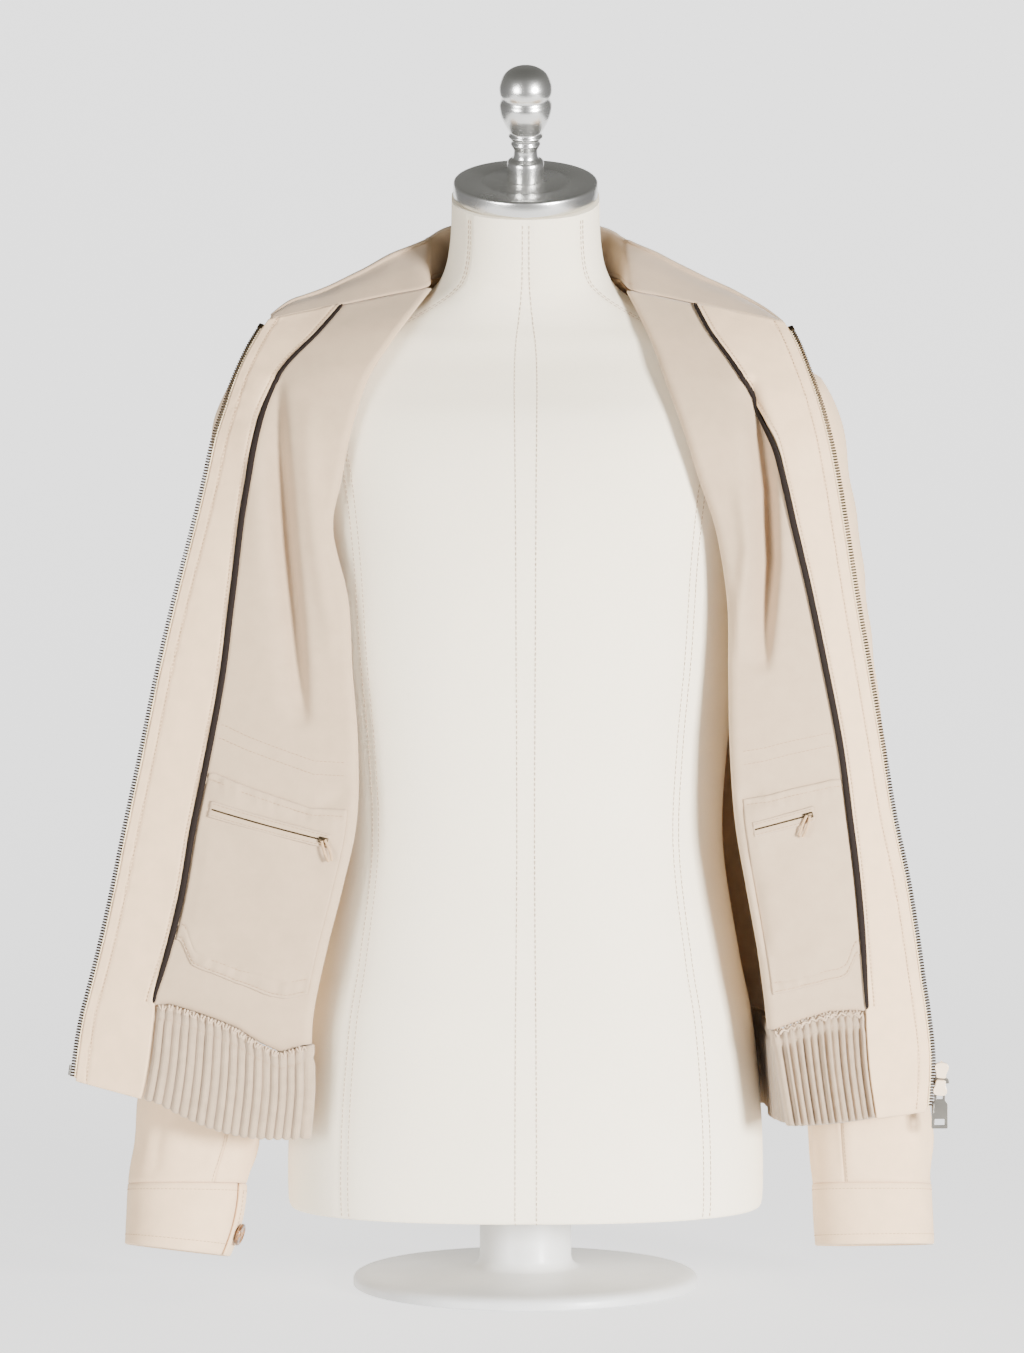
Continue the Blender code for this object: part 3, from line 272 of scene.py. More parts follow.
FRONTS: dict[Side, FrontTable] = {
    Side.RIGHT: FrontTable(
        rows=(
            (688, 70, -9, 738, 0.50, 192, -32, 713, 3.0),
            (668, 86, -40, 716, 0.53, 203, -46, 694, 3.6),
            (640, 100, -56, 696, 0.63, 213, -58, 671, 4.2),
            (610, 115, -70, 671, 0.66, 220, -67, 649, 4.6),
            (580, 127, -83, 633, 0.64, 227, -74, 627, 5.0),
            (550, 134, -86, 598, 0.62, 234, -79, 595, 5.2),
            (526, 140, -90, 562, 0.60, 242, -82, 562, 5.4),
            (498, 129, -93, 512, 0.62, 256, -84, 508, 5.6),
            (452, 126, -95, 461, 0.62, 268, -84, 457, 5.8),
            (400, 122, -96, 407, 0.65, 280, -83, 399, 5.8),
            (346, 123, -96, 352, 0.67, 292, -82, 344, 5.8),
            (298, 133, -95, 305, 0.66, 302, -80, 296, 5.6),
            (254, 145, -94, 258, 0.66, 312, -78, 252, 5.4),
            (222, 154, -93, 217, 0.66, 320, -77, 216, 5.2),
            (200, 156, -92, 192, 0.66, 324, -76, 197, 5.2),
            (162, 156, -91, 155, 0.67, 328, -75, 179, 5.2),
            (126, 159, -90, 121, 0.69, 331, -75, 162, 5.2),
        ),
        seam_wave=(
            (0.0, -2),
            (0.1, -8),
            (0.2, -1),
            (0.3, 9),
            (0.4, 15),
            (0.5, 20),
            (0.6, 24),
            (0.7, 22),
            (1.0, 10),
        ),
        hem_sag=9.0,
        creases=(
            Crease([(-180, 672), (-176, 612), (-172, 560), (-166, 500), (-160, 420)], 8.0, -17.0, 0.35),
            Crease([(-158, 655), (-156, 600), (-150, 545), (-138, 470)], 7, 4.0),
            Crease([(-197, 640), (-194, 590), (-188, 530)], 12, 2.2),
            Crease([(-128, 375), (-137, 368), (-150, 362)], 6, -2.2),
        ),
    ),
    Side.LEFT: FrontTable(
        rows=(
            (688, 75, -14, 736, 0.38, 193, -34, 711, 3.0),
            (668, 86, -40, 713, 0.38, 201, -46, 694, 3.6),
            (640, 94, -56, 694, 0.44, 209, -58, 671, 4.2),
            (610, 103, -75, 667, 0.51, 216, -67, 649, 4.6),
            (580, 115, -90, 633, 0.55, 222, -74, 624, 5.0),
            (550, 126, -92, 598, 0.55, 228, -79, 592, 5.2),
            (526, 138, -92, 562, 0.54, 233, -82, 561, 5.4),
            (498, 146, -94, 512, 0.58, 241, -84, 510, 5.6),
            (452, 147, -95, 461, 0.63, 250, -84, 460, 5.8),
            (400, 148, -96, 407, 0.67, 259, -83, 408, 5.8),
            (346, 152, -96, 352, 0.67, 268, -82, 355, 5.8),
            (298, 160, -95, 305, 0.64, 278, -80, 309, 5.6),
            (254, 168, -94, 261, 0.61, 285, -78, 267, 5.4),
            (222, 173, -93, 225, 0.59, 290, -77, 230, 5.2),
            (200, 176, -92, 199, 0.58, 293, -76, 210, 5.2),
            (162, 182, -91, 164, 0.56, 297, -75, 174, 5.2),
            (126, 188, -90, 130, 0.60, 295, -75, 139, 5.2),
        ),
        seam_wave=((0.0, 2), (0.1, 5), (0.2, 8), (0.35, 11), (0.5, 10), (0.6, 8), (1.0, 4)),
        hem_sag=1.0,
        creases=(
            Crease([(163, 672), (171, 634), (176, 590), (178, 540), (172, 460)], 7.5, -21.0, 0.4),
            Crease([(153, 596), (158, 570), (160, 548), (156, 518), (151, 470)], 5.5, 5.0),
            Crease([(192, 640), (197, 590), (199, 540)], 10, 2.0),
            Crease([(158, 330), (164, 290), (172, 252)], 9, -6.0),
            Crease([(150, 372), (158, 366), (172, 372)], 7, -2.4),
        ),
    ),
}


class FrontShape:
    """One front: under the sleeve, round the roll edge, and turned back out to the teeth."""

    rib_row = 14
    hem_row = 16
    belly = 5.0
    least_turn = 0.34
    teeth_reach = 4.4
    rise_starts = 11.5
    sag_span = 0.62
    edge_lean = np.array((1.0, 0.2, 1.0))

    def __init__(self, side: Side) -> None:
        """Read the side's table."""
        self.side = side
        self.table = FRONTS[side]
        self.rows = np.array(self.table.rows, float)
        self._places = np.linspace(0, self.hem_row, 161)
        ends = self.flap(1.0, self._places) - self.flap(0.0, self._places)
        self._widths = np.linalg.norm(ends, axis=-1)

    def binding_share(self, row: Points) -> Points:
        """Share of the turned-back width at which the binding runs."""
        return smooth(self.rows, row)[..., 4]

    def width(self, row: Points) -> Points:
        """Width of the turned-back part, to the teeth."""
        return np.interp(row, self._places, self._widths)

    def cloth_edge(self, row: Points) -> Points:
        """Share at which the cloth stops short of the teeth."""
        return 1 - self.teeth_reach / self.width(row)

    def outer_width(self, row: Points) -> Points:
        """Width between the binding and the cloth's edge."""
        return self.width(row) * (self.cloth_edge(row) - self.binding_share(row))

    def inner_width(self, row: Points) -> Points:
        """Width between the roll edge and the binding."""
        return self.width(row) * self.binding_share(row)

    def along(self, place: Points, row: Points) -> Points:
        """Share for a place: 0 roll edge, 1 binding, 2 cloth edge."""
        share = self.binding_share(row)
        outer = share + (self.cloth_edge(row) - share) * (place - 1)
        return np.where(np.asarray(place) <= 1, place * share, outer)

    def seam_rise(self, along: Points, row: Points) -> Points:
        """How far the rib seam and the hem stand off the straight line of their row."""
        wave = np.array(self.table.seam_wave, float)
        rise = np.interp(along, wave[:, 0], wave[:, 1])
        rise = rise * ramp(row, self.rise_starts, self.rib_row)
        rise = rise * (1 - ramp(row, self.rib_row, self.hem_row))
        sag = self.table.hem_sag * np.sin(math.pi * np.minimum(along / self.sag_span, 1))
        return rise - sag * ramp(row, self.rib_row, self.hem_row)

    def under(self, share: Points, row: Points) -> Points:
        """Points between the shoulder, armhole or side seam (0) and the roll (1)."""
        share, row = np.broadcast_arrays(np.asarray(share, float), np.asarray(row, float))
        at = smooth(self.rows, row)
        seam_level = TORSO.level(at[..., 0])
        seam_turn = TORSO.edge_turn(at[..., 0], Half.FRONT)
        level = TORSO.level(at[..., 3])
        inner = at[..., 1] + at[..., 8]
        turn = np.maximum(TORSO.turn_for_x(level, inner), self.least_turn)
        sign = self.side.value
        point = TORSO.point(
            seam_level + (level - seam_level) * share,
            sign,
            Half.FRONT,
            seam_turn + (turn - seam_turn) * share,
            True,
        )
        reached = TORSO.point(level, sign, Half.FRONT, turn, True)
        target = stack(sign * inner, at[..., 2] + at[..., 8], at[..., 3])
        point = point + (target - reached) * (share**2)[..., None]
        point[..., 2] += self.seam_rise(0.0, row) * share
        return point

    def roll(self, share: Points, row: Points) -> Points:
        """Points on the half round of the roll edge."""
        share, row = np.broadcast_arrays(np.asarray(share, float), np.asarray(row, float))
        at = smooth(self.rows, row)
        radius = at[..., 8]
        inward = at[..., 1] + radius - radius * np.sin(share * math.pi)
        forward = at[..., 2] + radius * np.cos(share * math.pi)
        return stack(self.side.value * inward, forward, at[..., 3] + self.seam_rise(0.0, row))

    def flap(self, along: Points, row: Points) -> Points:
        """Points on the turned-back part between the roll edge (0) and the teeth (1)."""
        along, row = np.broadcast_arrays(np.asarray(along, float), np.asarray(row, float))
        at = smooth(self.rows, row)
        start = self.roll(1.0, row)
        stop = stack(self.side.value * at[..., 5], at[..., 6], at[..., 7])
        point = start + (stop - start) * along[..., None]
        point[..., 1] -= self.belly * np.sin(math.pi * along) * ramp(row, 0, 3)
        point[..., 2] += self.seam_rise(along, row) - self.seam_rise(0.0, row) * (1 - along)
        for crease in self.table.creases:
            point[..., 1] -= crease.rise(point[..., 0], point[..., 2])
        return point

    def inside(self, place: Points, row: Points, lift: Points | float = 0.0) -> Points:
        """Points off the inner face of the turned-back part, which looks forward."""
        place, row = np.broadcast_arrays(np.asarray(place, float), np.asarray(row, float))
        held = np.minimum(place, 2.0)
        point = self.flap(self.along(held, row), row)
        normal = self.normal(held, row)
        outward = unit((point - self.flap(self.along(held - 0.05, row), row)) * self.edge_lean)
        beyond = (place - held) * self.outer_width(row)
        return point + normal * np.asarray(lift)[..., None] + outward * beyond[..., None]

    def normal(self, place: Points, row: Points) -> Points:
        """Unit normals of the turned-back part's inner face."""
        a, b = np.maximum(place - 0.03, 0.0), np.minimum(place + 0.03, 2.0)
        across = self.flap(self.along(b, row), row) - self.flap(self.along(a, row), row)
        c, d = np.maximum(row - 0.04, 0.0), np.minimum(row + 0.04, self.hem_row)
        down = self.flap(self.along(place, d), d) - self.flap(self.along(place, c), c)
        out = unit(np.cross(across, down))
        return out * -np.sign(out[..., 1:2])

    def rows_every(self, step: float, first: float = 0.0, last: float = 16.0) -> Points:
        """Rows from first to last about a step apart down the zip, in millimetres."""
        fine = np.linspace(first, last, 400)
        points = self.flap(0.5, fine)
        reached = np.concatenate([[0], np.cumsum(np.linalg.norm(np.diff(points, axis=0), axis=1))])
        count = max(int(round(reached[-1] / step)), 2)
        return np.interp(np.linspace(0, reached[-1], count + 1), reached, fine)


@dataclass(frozen=True)
class SleeveTable:
    """Rings of the sleeve from the shoulder down.

    The columns are the middle's x, y and z, half width, half depth, tilt and pitch in degrees,
    and how much further out the left sleeve hangs.
    """

    rings: Points = field(
        default_factory=lambda: np.array(
            [
                (196, 8, 594, 81, 73, 75, 0, 0),
                (204, 6, 577, 69, 71, 66, 0, 1),
                (209, 4, 541, 56, 68, 58, 0, 2),
                (214, 2, 500, 45, 65, 44, 1, 3),
                (220, 0, 452, 38, 61, 28, 2, 3),
                (227, -3, 392, 36, 57, 14, 3, 3),
                (235, -6, 306, 37, 52, 6, 5, 3),
                (242, -11, 200, 40, 48, 2, 7, 6),
                (241, -17, 122, 45, 43, 0, 9, 13),
                (250, -21, 78, 43, 37, 0, 10, 6),
            ],
            float,
        )
    )
    seams: tuple[float, float] = (118.0, 232.0)
    roundness: float = 2.2
    stand: float = 2.6
    cuff_height: float = 44.0
    cuff_drift_y: float = -5.0


class SleeveShape:
    """One sleeve and its cuff, as rings round a slightly bent arm."""

    slant = {Side.RIGHT: 12.0, Side.LEFT: 2.0}
    hang = {Side.RIGHT: 9.0, Side.LEFT: 1.0}

    def __init__(self, side: Side) -> None:
        """Keep the side and its table."""
        self.side = side
        self.table = SleeveTable()

    def oval(self, degrees: Points) -> tuple[Points, Points]:
        """Unit superellipse, towards the outside and towards the front."""
        angle = np.radians(degrees)
        power = 2 / self.table.roundness
        c, s = np.cos(angle), np.sin(angle)
        return np.sign(c) * np.abs(c) ** power, np.sign(s) * np.abs(s) ** power

    def middle_x(self, ring: Points) -> Points:
        """How far out the middle of a ring lies."""
        return ring[..., 0] + (ring[..., 7] if self.side is Side.LEFT else 0)

    def armhole(self, degrees: Points) -> Points:
        """Points just off the coat's side, round the armhole."""
        angle = np.radians(degrees)
        z = TORSO.armhole[0] + TORSO.armhole_half[0] * np.cos(angle)
        y = TORSO.armhole[1] - TORSO.armhole_half[1] * np.sin(angle)
        level = TORSO.level(z)
        centre = smooth(TORSO.rings, level)[..., 4]
        sign = self.side.value
        before = TORSO.point(level, sign, Half.FRONT, TORSO.turn_for_y(level, Half.FRONT, y), True)
        behind = TORSO.point(level, sign, Half.BACK, TORSO.turn_for_y(level, Half.BACK, y), True)
        point = np.where((y < centre)[..., None], before, behind)
        point[..., 0] += sign * self.table.stand
        return point

    def ring(self, degrees: Points, place: Points) -> Points:
        """Points of the sleeve's own rings, place 0 being the first."""
        ring = smooth(self.table.rings, place)
        out, front = self.oval(degrees)
        tilt, pitch = np.radians(ring[..., 5]), np.radians(ring[..., 6])
        x = self.middle_x(ring) + ring[..., 3] * out * np.cos(tilt)
        y = ring[..., 1] - ring[..., 4] * front * np.cos(pitch)
        z = ring[..., 2] + ring[..., 3] * out * np.sin(tilt)
        z = z + ring[..., 4] * front * np.sin(pitch)
        return stack(self.side.value * x, y, z)

    def point(self, degrees: Points, place: Points) -> Points:
        """Points of the sleeve: place 0 is the armhole, then one for each ring."""
        degrees, place = np.broadcast_arrays(np.asarray(degrees, float), np.asarray(place, float))
        below = self.ring(degrees, np.maximum(place - 1, 0))
        share = np.clip(place, 0, 1)[..., None]
        return self.armhole(degrees) * (1 - share) + below * share

    def cuff(self, degrees: Points, drop: Points) -> Points:
        """Points on the cuff, drop below its top edge."""
        degrees, drop = np.broadcast_arrays(np.asarray(degrees, float), np.asarray(drop, float))
        share = drop / self.table.cuff_height
        last = self.table.rings[-1]
        point = self.ring(degrees, np.full(degrees.shape, len(self.table.rings) - 1.0))
        middle_x = float(self.middle_x(last))
        away = point - stack(self.side.value * middle_x, last[1], last[2])
        inner = (1 - self.oval(degrees)[0]) / 2
        x = self.side.value * (middle_x + share + self.slant[self.side] * share**2 * inner)
        y = last[1] + self.table.cuff_drift_y * share
        z = last[2] - drop - self.hang[self.side] * share * inner
        swell = 1 + 0.02 * share
        return stack(x + away[..., 0] * swell, y + away[..., 1] * swell, z + away[..., 2])


class CollarShape:
    """Collar laid open: a stand up to the roll line, and a fall behind it."""

    lift = 1.6
    # along the front's neck seam, turn round the back, roll x y z, fall edge x y z, roll radius
    stations = {
        Side.RIGHT: (
            (0.975, 0, 186, -26, 719, 196, 30, 701, 2.0),
            (0.85, 0, 172, -14, 730, 184, 42, 707, 2.6),
            (0.65, 0, 150, -4, 738, 164, 52, 712, 3.4),
            (0.42, 0, 123, 6, 751, 140, 64, 717, 4.0),
            (0.2, 0, 97, 16, 765, 118, 76, 722, 4.0),
            (0.0, 0, 76, 28, 774, 98, 86, 726, 4.0),
            (0, 0.05, 70, 40, 778, 88, 95, 727, 4.0),
            (0, 0.42, 59, 52, 785, 74, 101, 727, 4.0),
            (0, 0.72, 34, 70, 791, 42, 109, 728, 4.0),
            (0, 1.0, 0, 77, 794, 0, 112, 728, 4.0),
        ),
        Side.LEFT: (
            (0.975, 0, 188, -28, 714, 196, 28, 700, 2.0),
            (0.85, 0, 172, -14, 726, 184, 42, 706, 2.6),
            (0.65, 0, 150, -4, 739, 164, 52, 711, 3.4),
            (0.42, 0, 122, 6, 752, 140, 64, 717, 4.0),
            (0.2, 0, 97, 16, 765, 118, 76, 722, 4.0),
            (0.0, 0, 78, 28, 774, 98, 86, 726, 4.0),
            (0, 0.05, 70, 40, 778, 88, 95, 727, 4.0),
            (0, 0.42, 59, 52, 785, 74, 101, 727, 4.0),
            (0, 0.72, 34, 70, 791, 42, 109, 728, 4.0),
            (0, 1.0, 0, 77, 794, 0, 112, 728, 4.0),
        ),
    }

    def __init__(self, fronts: dict[Side, FrontShape]) -> None:
        """Keep the fronts whose neck seams the collar is sewn to."""
        self.fronts = fronts

    def section(self, side: Side, station: Sequence[float]) -> Points:
        """Eight points across the collar, from the neck seam to the fall's edge."""
        along, turn, x_roll, y_roll, z_roll, x_edge, y_edge, z_edge, radius = station
        front = self.fronts[side]
        if turn == 0:
            seam = front.flap(along * front.cloth_edge(0.0), 0.0)
        else:
            level = TORSO.level(TORSO.neck_seam_z)
            seam = TORSO.point(level, side.value, Half.BACK, turn, True)
        seam = seam + (0, 0, self.lift)
        roll = np.array((side.value * x_roll, y_roll, z_roll), float)
        edge = np.array((side.value * x_edge, y_edge, z_edge), float)
        out = unit(np.array((edge[0] - roll[0], edge[1] - roll[1], 0)))
        up = np.array((0, 0, 1.0))
        fall = roll + out * 2 * radius
        return np.array(
            [
                seam,
                (seam + roll) / 2,
                roll - up * radius,
                roll + out * radius * 0.4 - up * 0.2 * radius,
                roll + out * radius * 1.6 - up * 0.2 * radius,
                fall - up * radius,
                (fall + edge) / 2 + out * 2.0,
                edge,
            ]
        )

    def half(self, side: Side, places: Points, across: Points) -> Points:
        """Points of one half of the collar."""
        sections = np.array([self.section(side, station) for station in self.stations[side]])
        lines = smooth(sections, places)
        return np.moveaxis(smooth(np.moveaxis(lines, 1, 0), across), 0, 1)


# Meshes from rows of points


def mesh_of(name: str, points: Points, faces: list, corners: Points | None = None) -> bpy.types.Object:
    """A smooth mesh object from points in millimetres."""
    mesh = bpy.data.meshes.new(name)
    mesh.from_pydata((np.asarray(points) * MM).tolist(), [], faces)
    if corners is not None:
        layer = mesh.uv_layers.new(name="cloth")
        layer.data.foreach_set("uv", np.asarray(corners, np.float32).ravel())
    mesh.shade_smooth()
    made = bpy.data.objects.new(name, mesh)
    bpy.context.scene.collection.objects.link(made)
    return made


def cloth_coordinates(points: Points, closed: bool) -> Points:
    """Distances across and down the cloth in metres, averaged so that threads run straight."""
    ring = np.concatenate([points, points[:, :1]], axis=1) if closed else points
    across = np.linalg.norm(np.diff(ring, axis=1), axis=-1).mean(axis=0)
    down = np.linalg.norm(np.diff(ring, axis=0), axis=-1).mean(axis=1)
    u = np.concatenate([[0], np.cumsum(across)]) * MM
    v = np.concatenate([[0], np.cumsum(down)]) * MM
    return stack(u[None, :], -v[:, None])


def quads_of(shape: tuple[int, int], closed: bool, keep: Points | None) -> tuple[Points, Points]:
    """Faces of a grid, and for each corner its row and unwrapped column."""
    rows, columns = shape
    j, i = np.meshgrid(np.arange(rows - 1), np.arange(columns if closed else columns - 1), indexing="ij")
    if keep is not None:
        j, i = j[keep], i[keep]
    j, i = j.ravel(), i.ravel()
    places = np.stack([j, i, j, i + 1, j + 1, i + 1, j + 1, i], axis=1).reshape(-1, 4, 2)
    return places[..., 0] * columns + places[..., 1] % columns, places


def shell(
    name: str,
    points: Points,
    wall: float,
    closed: bool = False,
    keep: Points | None = None,
) -> bpy.types.Object:
    """Cloth of even thickness about a grid of points, with softly rounded edges.

    Args:
        name: the object's name.
        points: rows and columns of points in millimetres.
        wall: thickness in millimetres.
        closed: whether the last column joins the first.
        keep: which faces of the grid stay, or None for all.

    Returns:
        The linked object.
    """
    quads, places = quads_of(points.shape[:2], closed, keep)
    uv = cloth_coordinates(points, closed)
    corner_uv = uv[places[..., 0], places[..., 1]]
    used, quads = np.unique(quads, return_inverse=True)
    quads = quads.reshape(-1, 4)
    middle = points.reshape(-1, 3)[used]
    normals = np.cross(
        middle[quads[:, 2]] - middle[quads[:, 0]], middle[quads[:, 3]] - middle[quads[:, 1]]
    )
    normal = np.zeros_like(middle)
    for corner in range(4):
        np.add.at(normal, quads[:, corner], normals)
    normal = unit(normal)
    count = len(middle)
    start, stop = quads.ravel(), np.roll(quads, -1, axis=1).ravel()
    edge = ~np.isin(start * count + stop, stop * count + start)
    a, b = start[edge], stop[edge]
    edge_uv = corner_uv.reshape(-1, 2)[edge]
    stop_uv = np.roll(corner_uv, -1, axis=1).reshape(-1, 2)[edge]
    outward = np.zeros_like(middle)
    step = np.cross(middle[b] - middle[a], np.repeat(unit(normals), 4, axis=0)[edge])
    np.add.at(outward, a, step)
    np.add.at(outward, b, step)
    rim = np.unique(a)
    rim_at = np.full(count, -1)
    rim_at[rim] = 2 * count + np.arange(len(rim))
    half = wall / 2
    vertices = np.concatenate(
        [middle + normal * half, middle - normal * half, middle[rim] + unit(outward)[rim] * half * 0.8]
    )
    upper = np.stack([b, a, rim_at[a], rim_at[b]], axis=1)
    lower = np.stack([rim_at[b], rim_at[a], a + count, b + count], axis=1)
    rim_uv = np.stack([stop_uv, edge_uv, edge_uv, stop_uv], axis=1)
    faces = np.concatenate([quads, quads[:, ::-1] + count, upper, lower])
    corners = np.concatenate([corner_uv, corner_uv[:, ::-1], rim_uv, rim_uv])
    return mesh_of(name, vertices, faces.tolist(), corners)


def tube_of(name: str, sections: Points, capped: bool = True) -> bpy.types.Object:
    """Closed tube through rings of points."""
    quads, places = quads_of(sections.shape[:2], True, None)
    uv = cloth_coordinates(sections, True)
    faces = quads.tolist()
    corners = list(uv[places[..., 0], places[..., 1]].reshape(-1, 2))
    if capped:
        columns = sections.shape[1]
        last = (len(sections) - 1) * columns
        faces.append(list(range(columns))[::-1])
        faces.append(list(range(last, last + columns)))
        corners += [uv[0, 0]] * columns + [uv[-1, 0]] * columns
    made = mesh_of(name, sections.reshape(-1, 3), faces, np.array(corners))
    made.data.set_sharp_from_angle(angle=math.radians(55))
    return made


def turned(name: str, profile: Sequence[tuple[float, float]], seat: Matrix, steps: int) -> bpy.types.Object:
    """Turned piece: a profile of (radius, height) points from top to bottom."""
    radius, height = np.array(profile, float).T
    turn = -np.linspace(0, 2 * math.pi, steps, endpoint=False)
    rings = stack(
        radius[:, None] * np.cos(turn), radius[:, None] * np.sin(turn), height[:, None] + 0 * turn
    )
    made = tube_of(name, rings, capped=False)
    made.data.transform(seat)
    return made


def joined(name: str, pieces: Sequence[bpy.types.Object]) -> bpy.types.Object:
    """One object from several meshes, which keep their materials."""
    with bpy.context.temp_override(
        active_object=pieces[0], selected_editable_objects=list(pieces), object=pieces[0]
    ):
        bpy.ops.object.join()
    pieces[0].name = name
    pieces[0].data.name = name
    return pieces[0]


def even(points: Points, step: float) -> tuple[Points, Points]:
    """Places a step apart along a line."""
    reached = np.concatenate([[0], np.cumsum(np.linalg.norm(np.diff(points, axis=0), axis=1))])
    count = max(int(reached[-1] / step), 1)
    wanted = (np.arange(count) + 0.5) * reached[-1] / count
    places = np.interp(wanted, reached, np.arange(len(points)))
    return places, smooth(points, places)


@dataclass(frozen=True)
class Stitching:
    """Row of thread stitches: their length, the gap between them and the thread's radius."""

    length: float = 2.1
    gap: float = 0.9
    radius: float = 0.24
    rise: float = 0.2

    def mesh(self, lines: Sequence[tuple[Points, Points]]) -> tuple[Points, Points]:
        """Vertices and faces of the stitches along lines.

        Args:
            lines: points of each line on the cloth's face, and the face's normals there.

        Returns:
            Points in millimetres, and quads.
        """
        made, faces, count = [], [], 0
        for points, normals in lines:
            if len(points) < 3:
                continue
            places, centre = even(points, self.length + self.gap)
            along = unit(smooth(points, places + 0.05) - smooth(points, places - 0.05))
            up = unit(smooth(normals, places))
            side = unit(np.cross(along, up))
            rings = []
            for at, rise, size in ((-0.5, -0.25, 0.5), (-0.3, 0.8, 1), (0.3, 0.8, 1), (0.5, -0.25, 0.5)):
                middle = centre + along * at * self.length + up * self.rise * rise
                for turn in range(4):
                    angle = math.radians(45 + 90 * turn)
                    swing = side * math.cos(angle) + up * math.sin(angle)
                    rings.append(middle + swing * self.radius * size)
            block = np.stack(rings, axis=1)
            made.append(block.reshape(-1, 3))
            base = np.arange(len(centre))[:, None] * 16 + count
            for ring in range(3):
                for turn in range(4):
                    k = (turn + 1) % 4
                    corner = [ring * 4 + turn, ring * 4 + 4 + turn, ring * 4 + 4 + k, ring * 4 + k]
                    faces.append(base + np.array(corner))
            count += block.shape[0] * 16
        return np.concatenate(made), np.concatenate(faces)


class Sewing:
    """Collects stitch lines of one thread and makes them one piece."""

    def __init__(self, name: str, stitching: Stitching) -> None:
        """Start with no lines."""
        self.name = name
        self.stitching = stitching
        self.lines: list[tuple[Points, Points]] = []

    def along(self, points: Points, normals: Points) -> None:
        """Sew along a line on the cloth's face."""
        self.lines.append((points, normals))

    def build(self) -> bpy.types.Object:
        """One mesh of all the stitches."""
        points, faces = self.stitching.mesh(self.lines)
        return mesh_of(self.name, points, faces.tolist())


# Finishes


class Graph:
    """Shader nodes of one finish."""

    def __init__(self, name: str) -> None:
        """Start a material with one Principled shader."""
        self.material = bpy.data.materials.new(name)
        self.material.use_nodes = True
        self.tree = self.material.node_tree
        self.shader = self.tree.nodes["Principled BSDF"]

    def node(self, kind: str, inputs: dict | None = None, **settings: object) -> bpy.types.Node:
        """A node with its settings, and its inputs set or linked."""
        made = self.tree.nodes.new("ShaderNode" + kind)
        for key, value in settings.items():
            setattr(made, key, value)
        for key, value in (inputs or {}).items():
            self.feed(made.inputs[key], value)
        return made

    def feed(self, socket: bpy.types.NodeSocket, value: object) -> None:
        """Set a socket, or link an output to it."""
        if isinstance(value, bpy.types.NodeSocket):
            self.tree.links.new(value, socket)
        else:
            socket.default_value = value

    def math(self, operation: str, *values: object) -> bpy.types.NodeSocket:
        """Result of a Math node."""
        return self.node("Math", dict(enumerate(values)), operation=operation).outputs[0]

    def cloth_axes(self) -> tuple[bpy.types.NodeSocket, bpy.types.NodeSocket]:
        """Distance across and along the cloth, in metres."""
        split = self.node("SeparateXYZ", {0: self.node("UVMap", uv_map="cloth").outputs[0]})
        return split.outputs[0], split.outputs[1]

    def noise(self, scale: float, detail: float = 3.0, roughness: float = 0.55) -> bpy.types.NodeSocket:
        """Noise in the object's own space; scale is in cycles a metre."""
        place = self.node("TexCoord").outputs["Object"]
        made = self.node(
            "TexNoise",
            {"Vector": place, "Scale": scale, "Detail": detail, "Roughness": roughness},
        )
        return made.outputs[0]

    def ramp(
        self, value: object, stops: Sequence[tuple[float, tuple[float, float, float]]]
    ) -> bpy.types.NodeSocket:
        """Colours by value."""
        made = self.node("ValToRGB", {0: value})
        ramp_of = made.color_ramp
        while len(ramp_of.elements) < len(stops):
            ramp_of.elements.new(0.5)
        for element, (place, colour) in zip(ramp_of.elements, stops):
            element.position = place
            element.color = (*colour, 1.0)
        return made.outputs[0]

    def bump(
        self, height: object, distance: float, strength: float = 1.0, below: object = None
    ) -> bpy.types.NodeSocket:
        """Surface relief from a height; distance is in metres."""
        inputs = {"Height": height, "Distance": distance, "Strength": strength}
        if below is not None:
            inputs["Normal"] = below
        return self.node("Bump", inputs).outputs[0]

    def surface(self, **values: object) -> bpy.types.Material:
        """Set the shader's sockets by name, with spaces written as underscores."""
        for key, value in values.items():
            self.feed(self.shader.inputs[key.replace("_", " ")], value)
        return self.material


Colour = tuple[float, float, float]


def shade(colour: Colour, by: float) -> Colour:
    """The colour made lighter or darker."""
    return tuple(min(channel * by, 1.0) for channel in colour)


@dataclass(frozen=True)
class WoolTwill:
    """Fine matt wool: twill ridges, soft fibre fuzz and faint mottling."""

    name: str = "wool_twill"
    colour: Colour = (0.760, 0.535, 0.325)
    twill_pitch: float = 0.00075
    relief: float = 0.00011

    def material(self) -> bpy.types.Material:
        """The finish's material."""
        graph = Graph(self.name)
        u, v = graph.cloth_axes()
        slant = graph.math("ADD", u, graph.math("MULTIPLY", v, 0.9))
        ridge = graph.math("SINE", graph.math("MULTIPLY", slant, 2 * math.pi / self.twill_pitch))
        cross = graph.math("SINE", graph.math("MULTIPLY", u, 2 * math.pi / (self.twill_pitch * 0.8)))
        weave = graph.math("ADD", ridge, graph.math("MULTIPLY", cross, 0.5))
        fuzz = graph.noise(2600, 2.0)
        mottle = graph.noise(90, 4.0)
        height = graph.math("ADD", graph.math("MULTIPLY", weave, 0.22), fuzz)
        below = graph.bump(mottle, 0.0006, 0.35)
        colour = graph.ramp(
            graph.math("ADD", graph.math("MULTIPLY", mottle, 0.6), graph.math("MULTIPLY", fuzz, 0.4)),
            ((0.30, shade(self.colour, 0.93)), (0.70, shade(self.colour, 1.05))),
        )
        return graph.surface(
            Base_Color=colour,
            Roughness=0.92,
            Sheen_Weight=0.25,
            Sheen_Roughness=0.5,
            Specular_IOR_Level=0.2,
            Normal=graph.bump(height, self.relief, 0.7, below),
        )


